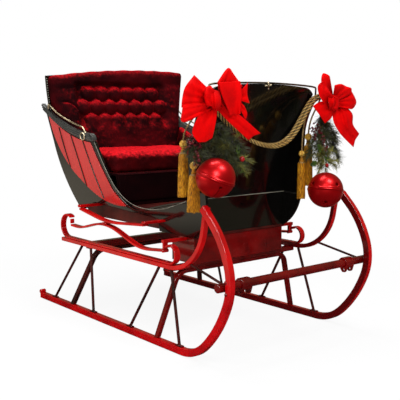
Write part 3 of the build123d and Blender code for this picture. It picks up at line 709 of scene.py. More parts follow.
def nurbs_line(name, points, order=3, radius=0.0, closed=False):
    """A smooth curve with `points` as its control points."""
    data = bpy.data.curves.new(name, "CURVE")
    data.dimensions = "3D"
    data.resolution_u = 12
    data.bevel_depth = radius
    data.bevel_resolution = 4
    data.use_fill_caps = True
    spline = data.splines.new("NURBS")
    spline.points.add(len(points) - 1)
    for control, point in zip(spline.points, points):
        control.co = (*point, 1)
    spline.use_cyclic_u = closed
    spline.order_u = order
    spline.use_endpoint_u = not closed
    return add_piece(name, data)


def as_mesh(name, piece, finish=None):
    """The evaluated shape of a piece as a plain mesh piece; the first piece is deleted."""
    depsgraph = bpy.context.evaluated_depsgraph_get()
    data = bpy.data.meshes.new_from_object(piece.evaluated_get(depsgraph), depsgraph=depsgraph)
    bpy.data.objects.remove(piece)
    data.name = name
    if finish:
        data.materials.clear()
        data.materials.append(finish)
        data.polygons.foreach_set("material_index", [0] * len(data.polygons))
    return add_piece(name, data)


def shade_smooth(data):
    data.polygons.foreach_set("use_smooth", [True] * len(data.polygons))


def mesh_piece(name, points, faces, closed=True, weld=False, smooth=True):
    """A piece from points and faces; a closed one gets outward normals, `weld` joins points that coincide."""
    data = bpy.data.meshes.new(name)
    data.from_pydata(points, [], faces)
    if closed:
        shape = bmesh.new()
        shape.from_mesh(data)
        if weld:
            bmesh.ops.remove_doubles(shape, verts=shape.verts, dist=1e-6)
            bmesh.ops.dissolve_degenerate(shape, edges=shape.edges, dist=1e-7)
        bmesh.ops.recalc_face_normals(shape, faces=shape.faces)
        shape.to_mesh(data)
        shape.free()
    if smooth:
        shade_smooth(data)
    return add_piece(name, data)


def line_points(points):
    """The points along the smooth line through a route."""
    line = as_mesh("line", nurbs_line("line", points))
    found = [tuple(v.co) for v in line.data.vertices]
    bpy.data.objects.remove(line)
    return found


def rod_along(points, radius, finish, order=3, closed=False):
    """A round rod along a smooth line."""
    return as_mesh("rod", nurbs_line("rod", points, order, radius, closed), finish)


def polyline(name, points):
    """A bare line of edges, for a recipe to work on."""
    data = bpy.data.meshes.new(name)
    data.from_pydata(points, [(i, i + 1) for i in range(len(points) - 1)], [])
    return add_piece(name, data)

# %% [markdown]
# A recipe runs as a modifier. Its inputs are set by their identifiers before the piece is first evaluated, and the
# result is kept as a plain mesh. Pieces that belong together on the real sleigh are joined, and each face keeps its
# own finish.

# %% Run a recipe and join


def grow(name, base, recipe, **sizes):
    """Run a recipe over a base and keep the result as a plain mesh."""
    modifier = base.modifiers.new("recipe", "NODES")
    modifier.node_group = recipe.nodes
    for key, value in sizes.items():
        modifier[recipe.ids[key]] = value
    return as_mesh(name, base)


def joined(name, pieces):
    """Join meshes into one piece, keeping each one's material."""
    shape = bmesh.new()
    finishes = []
    for piece in pieces:
        start = len(shape.faces)
        shape.from_mesh(piece.data)
        shape.faces.ensure_lookup_table()
        own = list(piece.data.materials)
        for finish in own:
            if finish not in finishes:
                finishes.append(finish)
        for face in shape.faces[start:]:
            face.material_index = finishes.index(own[min(face.material_index, len(own) - 1)])
    data = bpy.data.meshes.new(name)
    shape.to_mesh(data)
    shape.free()
    for finish in finishes:
        data.materials.append(finish)
    for piece in pieces:
        bpy.data.objects.remove(piece)
    return add_piece(name, data)

# %% [markdown]
# Real rope is laid: three strands wind round each other, and a shadow lies in each groove. A plain tube with a
# pattern would be lighter, but its outline would stay straight. The recipe copies a route once for each strand,
# turns each copy round the route as a helix, and gives it a round section. It runs a second time for three thin
# dark strands that fill the grooves as painted shadow.

# %% The recipe for laid rope


def rope_recipe(name, finish, sides=6):
    rope = Recipe(name)
    count = rope.size("strands", 3, "Int")
    thick = rope.size("strand_radius", 0.0046)
    lay = rope.size("lay_radius", 0.0044)
    pitch = rope.size("pitch", 0.045)
    start = rope.size("start", 0.0)
    step = rope.size("step", 0.004)
    line = rope.node("GeometryNodeMeshToCurve", None, {"Mesh": rope.shape})
    line = rope.node("GeometryNodeResampleCurve", {"mode": "LENGTH"}, {"Curve": line, "Length": step})
    copies = rope.node("GeometryNodeDuplicateElements", {"domain": "SPLINE"}, {"Geometry": line, "Amount": count})
    which = Wire(rope, copies.socket.node.outputs["Duplicate Index"])
    along = rope.node("GeometryNodeSplineParameter", out="Length")
    angle = along / pitch * TAU + (which + start) / count * TAU
    normal = rope.node("GeometryNodeInputNormal")
    tangent = rope.node("GeometryNodeInputTangent")
    across = rope.vector("CROSS_PRODUCT", tangent, normal)
    turned = rope.vector("ADD", rope.scaled(normal, rope.maths("COSINE", angle) * lay),
                         rope.scaled(across, rope.maths("SINE", angle) * lay))
    laid = rope.node("GeometryNodeSetPosition", None, {"Geometry": copies, "Offset": turned})
    return rope.finished(rope.rounded(laid, sides, thick), finish)


SWAG_ROPE = rope_recipe("swag_rope", GOLD_CORD)
TASSEL_ROPE = rope_recipe("tassel_rope", PALE_CORD, sides=5)
GROOVE_SHADOW_ROPE = rope_recipe("dark_rope", GROOVE_SHADOW_CORD, sides=4)
print("rope recipe inputs", list(SWAG_ROPE.ids))


def twisted(name, path, recipe, strand, lay, pitch):
    """A laid rope of three strands, with a dark strand in each groove between them as painted shadow."""
    turning = {"pitch": pitch, "step": pitch / 12}
    light = grow("light", polyline("path", path), recipe, strand_radius=strand, lay_radius=lay, **turning)
    # Dark strands in the grooves are painted shadow.
    groove_shadows = grow("dark", polyline("path", path), GROOVE_SHADOW_ROPE, strand_radius=strand * 0.74, lay_radius=lay * 1.30,
                   start=0.5, **turning)
    return joined(name, [light, groove_shadows])


def route_length(points):
    return sum((Vector(b) - Vector(a)).length for a, b in zip(points, points[1:]))

# %% [markdown]
# The two ropes of the swag hang from bow to bow. They follow one line, one rope a little in front of the other and a
# little lower, so that they read as a pair without crossing.

# %% Lay the two ropes of the swag
for place, (x, higher) in STRANDS.items():
    path = line_points([(x, y, z + higher) for y, z in SWAG])
    rope = twisted(f"swag_rope_{place}", path, SWAG_ROPE, 0.0043, 0.0050, 0.072)
    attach(rope, BODY)
    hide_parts(f"swag_{place}")
    print(rope.name, round(route_length(path), 3), "m", len(rope.data.polygons), "faces")

# %% [markdown]
# The body leans outwards and widens to the rear, so the cushions do too. A pad could be a subdivided cube pulled
# into place; here it is a box of fine quads whose edges are rolled to a radius, and a function bends it into the
# room it fills, which keeps it a true distance from the panels.

# %% Pads with rolled edges
WALL = 0.014


def clamp(value):
    """A value held between 0 and 1."""
    return min(max(value, 0), 1)


def half_width(x, z):
    """Half width of the body outside its side panels, at a station and a height."""
    return 0.316 + (0.10 + 0.113 * (0.438 - x)) * (z - 0.532)


def rolled_box(name, size, radius, spacing, bend):
    """A box of quads, its edges rolled to `radius`; `bend` turns (a, b, c) in the box into a place."""
    counts = [max(2, round(length / spacing)) for length in size]
    numbers, points, faces = {}, [], []

    def corner(index):
        if index not in numbers:
            flat = Vector([length * i / n for length, i, n in zip(size, index, counts)])
            core = Vector([min(max(v, radius), length - radius) for v, length in zip(flat, size)])
            away = flat - core
            if away.length > 1e-9:
                flat = core + away.normalized() * min(radius, away.length if away.length > radius else radius)
            numbers[index] = len(points)
            points.append(bend(*flat))
        return numbers[index]

    for fixed in range(3):
        first, second = [axis for axis in range(3) if axis != fixed]
        for end in (0, counts[fixed]):
            for i in range(counts[first]):
                for j in range(counts[second]):
                    quad = []
                    for di, dj in ((0, 0), (1, 0), (1, 1), (0, 1)):
                        index = [0, 0, 0]
                        index[fixed], index[first], index[second] = end, i + di, j + dj
                        quad.append(corner(tuple(index)))
                    faces.append(quad)
    return mesh_piece(name, points, faces)


def wobble(x, y, z, scale, seed=0.0):
    """A slow random swell between about -1 and 1."""
    return noise.noise(Vector((x * scale + seed, y * scale, z * scale)))

# %% [markdown]
# The seat back is one deep velvet pad. Its head is a fat plain roll, and below it three rows of tufts are drawn in
# by hidden ties, each row set half a tuft over from the last. Each tuft is a dome that is fuller above and sags
# below, and where domes meet, the velvet dives into a pleat. The pad could be blown up by a cloth solver with its
# ties pinned. The pattern of a tufted back is regular, so it is worked out instead, and every dome keeps its place.

# %% The pattern of the tufts
TUFT_PITCH, TUFT_DEEP, TUFT_HALF = 0.0935, 0.026, 0.0515
ABOVE_TUFT, BELOW_TUFT, BELOW_LOWEST = 0.036, 0.054, 0.14
FIELD_HALF, FIELD_FOOT, FIELD_TOP = 0.345, 1.018, 1.318
BACK_HALF = 0.56
TUFT_ROWS = [(1.252, 6), (1.172, 7), (1.090, 6)]      # height of a row's middle, tufts in it
LOWEST_ROW = TUFT_ROWS[-1][0]
BACK_FOOT = 0.896


def three_point(points):
    """A parabola through three (z, x) points."""
    (z1, x1), (z2, x2), (z3, x3) = points

    def at(z):
        return (x1 * (z - z2) * (z - z3) / ((z1 - z2) * (z1 - z3)) + x2 * (z - z1) * (z - z3)
                / ((z2 - z1) * (z2 - z3)) + x3 * (z - z1) * (z - z2) / ((z3 - z1) * (z3 - z2)))
    return at


back_front = three_point([(0.923, -0.593), (1.120, -0.636), (1.330, -0.688)])
back_rear = three_point([(0.923, -0.766), (1.160, -0.7595), (1.366, -0.7145)])
head_line = three_point([(-BACK_HALF, 1.338), (0.0, 1.388), (BACK_HALF, 1.388)])
TUFTS = [((i - (count - 1) / 2) * TUFT_PITCH, height) for height, count in TUFT_ROWS for i in range(count)]
print(len(TUFTS), "tufts")


def tuft_height(y, z):
    """How far the tufted face stands out of its sewn-down depth."""
    full = 0.0
    for tuft_y, tuft_z in TUFTS:
        across = (y - tuft_y) / TUFT_HALF
        below = BELOW_LOWEST if tuft_z == LOWEST_ROW else BELOW_TUFT
        up = (z - tuft_z) / (ABOVE_TUFT if z > tuft_z else below)
        full = max(full, 1 - across * across - up * up)
    return full ** 0.5


def inside_rows(y, z):
    """1 in the tufted field, 0 in the borders, smooth between."""
    side = clamp((FIELD_HALF - abs(y)) / 0.05)
    top = clamp((FIELD_TOP - z) / 0.03)
    foot = clamp((z - FIELD_FOOT) / 0.08)
    return side * side * (3 - 2 * side) * top * top * (3 - 2 * top) * foot * foot * (3 - 2 * foot)

# %% [markdown]
# The tufts fill the middle of the pad, and plain borders frame them, with one sewn seam at the near edge. Slow and
# fine swells keep the plain parts from looking moulded. All of it is a push along the sleigh, so the pad's rear
# stays flat against its board.

# %% Build the seat back


def seat_back_place(a, b, c):
    """Where a point of the flat pad goes: over the body's curve, out with the tufts, the seam and loose swells."""
    width, height, depth = BACK_SIZE
    z_top = head_line((a / width * 2 - 1) * BACK_HALF)
    z = BACK_FOOT + b / height * (z_top - BACK_FOOT)
    rear, front = back_rear(z), back_front(z)
    x = rear + c / depth * (front - rear)
    y = (a / width * 2 - 1) * (half_width(x, z) - WALL - 0.003)
    facing = clamp((c / depth - 0.6) / 0.4)
    near_top = (z_top - z) / 0.05
    roll = max(0.0, 1 - (near_top - 0.55) ** 2)
    field = inside_rows(y, z)
    tufted = field * (tuft_height(y, z) * TUFT_DEEP - 0.021)
    edge_fade = min(1, (width / 2 - abs(a - width / 2)) / 0.05)
    crown = 0.006 * edge_fade * (1 - field)
    seam_z = 1.191 - 0.040 * clamp((y + 0.40) / 0.07) ** 2
    seam = -0.007 * math.exp(-((z - seam_z) / 0.005) ** 2) * (y < -0.325) * edge_fade
    loose = 0.003 * wobble(x, y, z, 11) + 0.0018 * wobble(x, y, z, 34, 5)
    scallop = 0.0035 * math.sin(y * TAU / 0.118) * roll
    push = facing * (roll * 0.009 * edge_fade + tufted + crown + seam + loose * edge_fade)
    return x + push, y, z + scallop * 0.5 - (0.004 if near_top < 0.5 else 0) * (1 - edge_fade)


BACK_SIZE = (1.10, 0.47, 0.12)
seat_back = rolled_box("tufted_seat_back", BACK_SIZE, 0.026, 0.005, seat_back_place)
seat_back.data.materials.append(VELVET)
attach(seat_back, BODY)
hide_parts("back_cushion")
print(seat_back.name, len(seat_back.data.polygons), "faces")

# %% [markdown]
# The seat cushion and the arm pads are plain stuffed pads, so they are inflated like real ones: a cloth solver blows
# up a closed skin, and a cap on each point's travel keeps the pad in the room it has.

# %% Stuffing
STUFFED_FRAMES = 20


def stuff(piece, finish, voxel, cap, sit=None):
    """Inflate a closed pad; `cap` is the farthest a point may move, and `sit` a height below which it stays."""
    name = piece.name
    remesh = piece.modifiers.new("skin", "REMESH")
    remesh.mode = "VOXEL"
    remesh.voxel_size = voxel
    piece = as_mesh(name, piece)
    before = np.array([v.co[:] for v in piece.data.vertices])
    cloth = piece.modifiers.new("cloth", "CLOTH")
    cloth.settings.use_pressure = True
    cloth.settings.uniform_pressure_force = 4
    cloth.settings.effector_weights.gravity = 0
    cloth.point_cache.frame_start = 1
    cloth.point_cache.frame_end = STUFFED_FRAMES
    for frame_number in range(1, STUFFED_FRAMES + 1):
        scene.frame_set(frame_number)
    piece = as_mesh(name, piece)
    scene.frame_set(1)
    after = np.array([v.co[:] for v in piece.data.vertices])
    move = after - before
    far = np.linalg.norm(move, axis=1, keepdims=True)
    move *= np.minimum(1, cap / np.maximum(far, 1e-9))
    if sit is not None:
        move *= np.clip((before[:, 2:3] - sit) / 0.03, 0, 1)
    piece.data.vertices.foreach_set("co", (before + move).ravel())
    piece.data.update()
    print(name, "stuffed, farthest point", round(float(np.linalg.norm(move, axis=1).max()) * 1000, 1), "mm")
    shade_smooth(piece.data)
    piece.data.materials.clear()
    piece.data.materials.append(finish)
    return piece


def crush(piece, slow, fine):
    """Push the points of a pad in and out along their normals, as handled velvet is."""
    normals = [v.normal.copy() for v in piece.data.vertices]
    for vertex, normal in zip(piece.data.vertices, normals):
        x, y, z = vertex.co
        vertex.co += normal * (slow * wobble(x, y, z, 9, 2) + fine * wobble(x, y, z, 38, 7))

# %% [markdown]
# The seat cushion fills the body from side to side. Its skin starts as a box with rolled edges and a slight crown;
# after the stuffing its velvet is crushed a little, as people have sat on it. It stays flat below, where it lies on
# the seat box.

# %% Seat cushion
SEAT_SIZE = (0.505, 0.86, 0.098)
SEAT_FOOT = 0.803


def seat_place(a, b, c):
    length, width, height = SEAT_SIZE
    x = -0.722 + a / length * 0.510
    z = SEAT_FOOT + c / height * (0.100 + 0.008 * math.sin(math.pi * min(1, a / length + 0.1)))
    y = (b / width * 2 - 1) * (half_width(x, z) - WALL - 0.012)
    return x, y, z


seat_skin = rolled_box("seat_cushion_pad", SEAT_SIZE, 0.036, 0.007, seat_place)
seat = stuff(seat_skin, CUSHION_VELVET, 0.007, 0.012, sit=SEAT_FOOT)
crush(seat, 0.004, 0.004)
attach(seat, BODY)
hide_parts("seat_cushion")
print(seat.name, len(seat.data.polygons), "faces")

# %% [markdown]
# A thin pad lines the body beside each arm. It is the same skin in another size. The second one is built from the
# mirrored places, not mirrored as a mesh, so that its faces keep pointing outwards.

# %% Arm pads
ARM_SIZE = (0.20, 0.034, 0.10)
ARM_REAR, ARM_FOOT = -0.588, 0.930
for side_name, side in SIDES.items():
    def arm_place(a, b, c, side=side):
        x = ARM_REAR + a
        high = 1.040 - (x - ARM_REAR) * 0.33
        z = ARM_FOOT + c / ARM_SIZE[2] * (high - ARM_FOOT)
        y = half_width(x, z) - WALL - 0.001 - (ARM_SIZE[1] - b)
        return x, side * y, z

    pad = rolled_box(f"arm_pad_{side_name}", ARM_SIZE, 0.014, 0.006, arm_place)
    pad = stuff(pad, VELVET, 0.006, 0.005)
    crush(pad, 0.002, 0.001)
    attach(pad, BODY)
    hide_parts("arm_pads")
    print(pad.name, len(pad.data.polygons), "faces")

# %% [markdown]
# Each upper corner of the dash wears a ribbon bow. A bow is one long ribbon, so every loop is a band that leaves the
# knot, turns over at its far end, and comes back behind. It could be tied by a cloth solver, but a tied bow is
# chance, and these two have known outlines. So an edge is a soft line through a few points, and each point slides
# along the line of sight to its own depth.

# %% Soft lines for the ribbon
RIBBON_PLANE = 0.675


def smooth_through(points, t):
    """A point at t (0 to 1) of a soft line through `points`."""
    points = [Vector(p) for p in points]
    if len(points) == 1:
        return points[0]
    at = clamp(t) * (len(points) - 1)
    i = min(int(at), len(points) - 2)
    f = at - i
    p1, p2 = points[i], points[i + 1]
    p0 = points[i - 1] if i else p1 * 2 - p2
    p3 = points[i + 2] if i + 2 < len(points) else p2 * 2 - p1
    return 0.5 * (2 * p1 + (p2 - p0) * f + (2 * p0 - 5 * p1 + 4 * p2 - p3) * f * f
                  + (3 * p1 - p0 - 3 * p2 + p3) * f * f * f)


def slide(y, z, x):
    """Move a point of the ribbon plane along the line of sight to the depth x."""
    point = Vector((RIBBON_PLANE, y, z))
    return EYE + (point - EYE) * (x - EYE.x) / (RIBBON_PLANE - EYE.x)

# %% [markdown]
# The bands are ruled sheets between two edges. Soft pleats run out of the knot, where the ribbon is gathered, and
# fade on the way. A tail is one band, and a loop is a band that folds back on itself at its far end.

# %% Bands and loops


def ruled_band(first, second, depth, pleats, pleat_depth, along=40, across=22, notch=0.0, phase=0.0, sag=0.0):
    """Points of a band from edge `first` to edge `second`; depth(t) is its x, pleats run along it."""
    rows = []
    for i in range(along + 1):
        t = i / along
        row = []
        for j in range(across + 1):
            w = j / across
            trim = 1 - notch * (1 - abs(2 * w - 1)) + min(notch, 0)
            y1, z1 = smooth_through(first, t * trim)
            y2, z2 = smooth_through(second, t * trim)
            y, z = y1 + (y2 - y1) * w, z1 + (z2 - z1) * w
            fold = math.sin(w * TAU * pleats + phase + 1.3 * t)
            x = depth(t * trim) + pleat_depth(t) * fold
            x += 0.5 * pleat_depth(t) * math.sin(w * TAU * (2.3 * pleats) + 2 * phase)
            x += sag * math.sin(math.pi * w) * math.sin(math.pi * min(t, 1))
            row.append(slide(y, z, x))
        rows.append(row)
    return rows


def loop_band(knot, fold_line, depth, middle, pleats, pleat_depth, along=56, across=26, phase=0.0):
    """A bow loop: out of the knot in front, over `fold_line` (lower to upper points), and back behind."""
    rows = []
    knot_y, knot_z, knot_half = knot
    for i in range(along + 1):
        t = i / along
        reach = math.sin(math.pi * t) ** 0.72
        row = []
        for j in range(across + 1):
            w = j / across
            tip_y, tip_z = smooth_through(fold_line, w)
            home_z = knot_z + (w - 0.5) * 2 * knot_half
            y = knot_y + (tip_y - knot_y) * reach
            z = home_z + (tip_z - home_z) * reach
            gape = depth * math.sin(TAU * t) * (0.55 + 0.45 * math.sin(math.pi * w))
            fold = math.sin(w * TAU * pleats + phase) + 0.5 * math.sin(w * TAU * 2.6 * pleats + 2 * phase)
            x = middle + gape + pleat_depth * fold * (1 - 0.55 * reach)
            z += 0.25 * pleat_depth * math.sin(w * TAU * pleats + 1 + phase) * reach
            row.append(slide(y, z, x))
        rows.append(row)
    return rows

# %% [markdown]
# The bands of one bow are joined into one cloth piece. Real velvet ribbon is about a millimetre thick, so a Solidify
# modifier gives that thickness, half to each side, and the result is kept as a plain mesh.

# %% Cloth from bands


def ribbon_piece(name, bands, finish, thick=0.0011):
    """Join bands of points into one cloth piece with a thickness and soft shading."""
    points, faces = [], []
    for rows in bands:
        start, width = len(points), len(rows[0])
        points += [point for row in rows for point in row]
        faces += [(start + i * width + j, start + i * width + j + 1, start + (i + 1) * width + j + 1,
                   start + (i + 1) * width + j) for i in range(len(rows) - 1) for j in range(width - 1)]
    cloth = mesh_piece(name, points, faces, closed=False)
    area = sum(face.area for face in cloth.data.polygons)
    body = cloth.modifiers.new("cloth", "SOLIDIFY")
    body.thickness = thick
    body.offset = 0
    cloth = as_mesh(name, cloth, finish)
    return cloth, area


def bulge(start, middle, end):
    """A depth that runs from `start` to `end` and swells by `middle` on the way."""
    return lambda t: start + (end - start) * t + middle * math.sin(math.pi * t)

# %% [markdown]
# The right bow has a wide fan of two loops to the outside, one tall loop behind its own front flap, two small loops,
# two tails, and a tie round the knot with a little loop beside it. Each entry below is one of them, with the places
# of its edges across and up.

# %% The bow on the right corner
right_knot = (-0.410, 1.185, 0.020)
near_bands = [
    # the left loop: an upper and a lower lobe of one wide fan
    loop_band(right_knot, [(-0.600, 1.150), (-0.596, 1.190), (-0.580, 1.235), (-0.530, 1.292)], 0.030, 0.668, 1.5,
              0.007, phase=0.4),
    loop_band((-0.420, 1.165, 0.016), [(-0.572, 1.090), (-0.602, 1.098), (-0.597, 1.135), (-0.592, 1.168)], 0.026,
              0.682, 1.2, 0.008, phase=2.0),
    # the right loop stands up behind its own front flap
    loop_band((-0.385, 1.205, 0.022), [(-0.398, 1.262), (-0.350, 1.318), (-0.326, 1.327), (-0.300, 1.300),
                                      (-0.246, 1.246)], 0.024, 0.664, 1.0, 0.005, phase=1.0),
    ruled_band([(-0.392, 1.262), (-0.372, 1.206), (-0.342, 1.154), (-0.322, 1.118)],
               [(-0.262, 1.272), (-0.250, 1.222), (-0.254, 1.168), (-0.258, 1.124)],
               bulge(0.696, 0.006, 0.700), 1.0, lambda t: 0.003 + 0.004 * t, phase=0.6, sag=0.008),
    # two small loops at the far right
    loop_band((-0.262, 1.205, 0.020), [(-0.202, 1.172), (-0.216, 1.215), (-0.214, 1.266)], 0.018, 0.665, 1.0, 0.004,
              along=36, across=16, phase=2.2),
    loop_band((-0.262, 1.165, 0.016), [(-0.226, 1.096), (-0.216, 1.125), (-0.232, 1.158)], 0.014, 0.660, 1.0, 0.003,
              along=30, across=14, phase=1.2),
    # tails
    ruled_band([(-0.462, 1.165), (-0.500, 1.125), (-0.541, 1.048), (-0.500, 0.994)],
               [(-0.398, 1.160), (-0.402, 1.110), (-0.414, 1.060), (-0.430, 1.012)],
               bulge(0.672, 0.014, 0.676), 1.25, lambda t: 0.006 * (1 - 0.8 * t), notch=-0.05, phase=0.9, sag=0.006),
    ruled_band([(-0.410, 1.160), (-0.368, 1.118), (-0.306, 1.072), (-0.206, 1.004)],
               [(-0.372, 1.195), (-0.320, 1.150), (-0.250, 1.112), (-0.128, 1.034)],
               bulge(0.668, 0.012, 0.672), 1.0, lambda t: 0.006 * (1 - 0.7 * t), notch=0.02, phase=2.5, sag=0.006),
    # the tie round the knot, and the little loop beside it
    loop_band((-0.395, 1.180, 0.026), [(-0.462, 1.160), (-0.476, 1.200), (-0.462, 1.240), (-0.436, 1.246)], 0.026,
              0.696, 1.0, 0.004, along=36, across=18, phase=0.3),
    ruled_band([(-0.455, 1.240), (-0.446, 1.205), (-0.440, 1.170), (-0.425, 1.146)],
               [(-0.385, 1.222), (-0.376, 1.190), (-0.378, 1.160), (-0.386, 1.136)],
               bulge(0.692, 0.026, 0.690), 1.5, lambda t: 0.005, phase=1.8, sag=0.014),
]
bow_right, area_right = ribbon_piece("ribbon_bow_right", near_bands, RIBBON_CLOTH)
print(bow_right.name, len(near_bands), "bands")

# %% [markdown]
# The left bow is made in the same way. It hangs a little higher on its corner, with one broad tail to the outside
# and a short one over the swag. The flat size of the ribbon in each bow is then printed.

# %% The bow on the left corner
far_bands = [
    loop_band((0.392, 1.180, 0.018), [(0.296, 1.262), (0.292, 1.300), (0.304, 1.326), (0.334, 1.322),
                                     (0.356, 1.312)], 0.020, 0.664, 1.0, 0.005, phase=0.5),
    ruled_band([(0.300, 1.286), (0.268, 1.262), (0.276, 1.222), (0.316, 1.172)],
               [(0.336, 1.262), (0.356, 1.240), (0.380, 1.218), (0.404, 1.198)],
               bulge(0.680, 0.018, 0.690), 1.0, lambda t: 0.005, phase=1.0, sag=0.010),
    ruled_band([(0.372, 1.176), (0.330, 1.184), (0.284, 1.184), (0.232, 1.162)],
               [(0.394, 1.150), (0.386, 1.118), (0.366, 1.096), (0.326, 1.076)],
               bulge(0.676, 0.012, 0.680), 1.0, lambda t: 0.005 * (1 - 0.6 * t), notch=0.02, phase=2.0, sag=0.006),
    loop_band((0.388, 1.180, 0.022), [(0.486, 1.158), (0.540, 1.150), (0.574, 1.178), (0.560, 1.212),
                                     (0.530, 1.246)], 0.028, 0.670, 1.5, 0.007, phase=1.4),
    loop_band((0.384, 1.195, 0.018), [(0.532, 1.226), (0.530, 1.256), (0.490, 1.266), (0.448, 1.275),
                                     (0.396, 1.268)], 0.024, 0.682, 1.2, 0.006, phase=0.2),
    ruled_band([(0.384, 1.160), (0.392, 1.088), (0.452, 1.020), (0.560, 0.948)],
               [(0.486, 1.166), (0.545, 1.122), (0.552, 1.068), (0.606, 1.018)],
               bulge(0.668, 0.016, 0.672), 1.4, lambda t: 0.007 * (1 - 0.5 * t), notch=0.03, phase=0.8, sag=0.010),
    loop_band((0.380, 1.178, 0.020), [(0.418, 1.140), (0.436, 1.170), (0.424, 1.206), (0.400, 1.216)], 0.020, 0.700,
              1.0, 0.004, along=30, across=16, phase=0.9),
    ruled_band([(0.346, 1.216), (0.350, 1.184), (0.360, 1.144)], [(0.410, 1.220), (0.416, 1.184), (0.402, 1.140)],
               bulge(0.690, 0.022, 0.690), 1.5, lambda t: 0.004, phase=1.1, sag=0.012),
]
bow_left, area_left = ribbon_piece("ribbon_bow_left", far_bands, RIBBON_CLOTH)
for bow, area, name in ((bow_right, area_right, "right"), (bow_left, area_left, "left")):
    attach(bow, BODY)
    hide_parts(f"ribbon_{name}")
    print(bow.name, "cloth area", round(area, 3), "m2", len(bow.data.polygons), "faces")

# %% [markdown]
# Bells, balls, berries and bolt heads are all round about one axis. A Screw modifier could turn them; a short
# function that turns a closed profile does the same, and welds the points that meet on the axis.

# %% Turned shapes
BELL_R, BELL_WALL = 0.090, 0.0022
BELL_RIM = [(-0.0004, -0.0058), (0.0022, -0.0050), (0.0028, -0.0034), (0.0012, -0.0012), (0.0008, 0.0),
            (0.0012, 0.0012), (0.0028, 0.0034), (0.0022, 0.0050), (-0.0004, 0.0058)]


def half_round(radius, steps, squash=1.0):
    """The profile of a ball, from pole to pole."""
    angles = [math.radians(-90 + 180 * i / steps) for i in range(steps + 1)]
    return [(max(0.0, radius * math.cos(a)), radius * squash * math.sin(a)) for a in angles]


def turned(name, profile, centre, axis, segments):
    """A closed ring of (radius, height) points turned about `axis` through `centre`."""
    axis = Vector(axis).normalized()
    frame_turn = axis.to_track_quat("Z", "Y").to_matrix()
    points, faces = [], []
    for i in range(segments):
        angle = TAU * i / segments
        for radius, height in profile:
            local = Vector((radius * math.cos(angle), radius * math.sin(angle), height))
            points.append(Vector(centre) + frame_turn @ local)
    count = len(profile)
    for i in range(segments):
        j = (i + 1) % segments
        for k in range(count):
            m = (k + 1) % count
            faces.append((i * count + k, j * count + k, j * count + m, i * count + m))
    return mesh_piece(name, points, faces, weld=True)


def wound(name, profile, finish, centre, segments=32, axis=(0, 0, 1)):
    """A turned solid with a finish; the profile runs from pole to pole."""
    piece = turned(name, profile, centre, axis, segments)
    piece.data.materials.append(finish)
    return piece

# %% [markdown]
# The openings of a bell are real ones. A cutter is a prism that runs out through the wall, round or star-shaped for
# a hole and thin for a slit. A dark patch in the paint would be cheaper, but an opening has an edge that catches
# light, and darkness behind it.

# %% Cutters for holes and slits


def cutter(name, points, centre, axis, spin):
    """A prism along the local X of the bell, for a hole, or through the pole for a slit."""
    axis = Vector(axis).normalized()
    turn = axis.to_track_quat("Z", "Y").to_matrix() @ Matrix.Rotation(spin, 3, "Z")
    near, far = points
    count = len(near)
    placed = [Vector(centre) + turn @ Vector(p) for p in near + far]
    faces = [tuple(range(count))[::-1], tuple(range(count, 2 * count))]
    faces += [(i, (i + 1) % count, count + (i + 1) % count, count + i) for i in range(count)]
    return mesh_piece(name, placed, faces, smooth=False)


def hole_points(latitude, radius, lobes=0):
    """The two ends of a radial prism at a latitude below the rim."""
    out = Vector((math.cos(latitude), 0, math.sin(latitude)))
    side, up = Vector((0, 1, 0)), Vector((-math.sin(latitude), 0, math.cos(latitude)))
    rings = []
    for reach in (0.5, 1.15):
        ring = []
        for i in range(24):
            angle = TAU * i / 24
            r = radius * (1 + 0.38 * math.cos(lobes * angle)) if lobes else radius
            ring.append(tuple(out * BELL_R * reach + (side * math.cos(angle) + up * math.sin(angle)) * r))
        rings.append(ring)
    return rings


def slit_points(width):
    """A thin box across the pole, from hole to hole."""
    reach, top = 0.0815, -0.030
    rings = []
    for y in (-width / 2, width / 2):
        rings.append([(-reach, y, top), (reach, y, top), (reach, y, -0.12), (-reach, y, -0.12)])
    return rings

# %% [markdown]
# The bells are big steel jingle bells, two pressed cups that are crimped together in a double rim. The lower cup of
# the right one has four round holes, joined in pairs by slits across the pole; the left one has star-shaped holes in
# both cups. Each is a thin shell, cut by exact booleans, and its axis leans as the real one hangs.

# %% The two bells


def bell(name, centre, axis, spin, latitude, hole, lobes):
    """A hollow bell; star-shaped holes go through both cups, round ones only through one, with slits."""
    outer, inner = half_round(BELL_R, 22), half_round(BELL_R - BELL_WALL, 22)
    rim = [(BELL_R + out, height) for out, height in BELL_RIM]
    below = [p for p in outer if p[1] < -0.0075]
    above = [p for p in outer if p[1] > 0.0075]
    shell = wound(name, below + rim + above + inner[::-1], BELL_RED, centre, 72, axis)
    shapes = [(hole_points(latitude, hole, lobes), k) for k in range(4)]
    if lobes:
        shapes += [(hole_points(math.radians(50), hole * 0.8, lobes), k + 0.4) for k in range(4)]
    else:
        shapes += [(slit_points(0.0030), k) for k in range(2)]
    tools = [cutter("tool", points, centre, axis, spin + quarter * TAU / 4) for points, quarter in shapes]
    for tool in tools:
        cut = shell.modifiers.new("cut", "BOOLEAN")
        cut.object = tool
        cut.solver = "EXACT"
    shell = as_mesh(name, shell)
    for tool in tools:
        bpy.data.objects.remove(tool)
    return shell


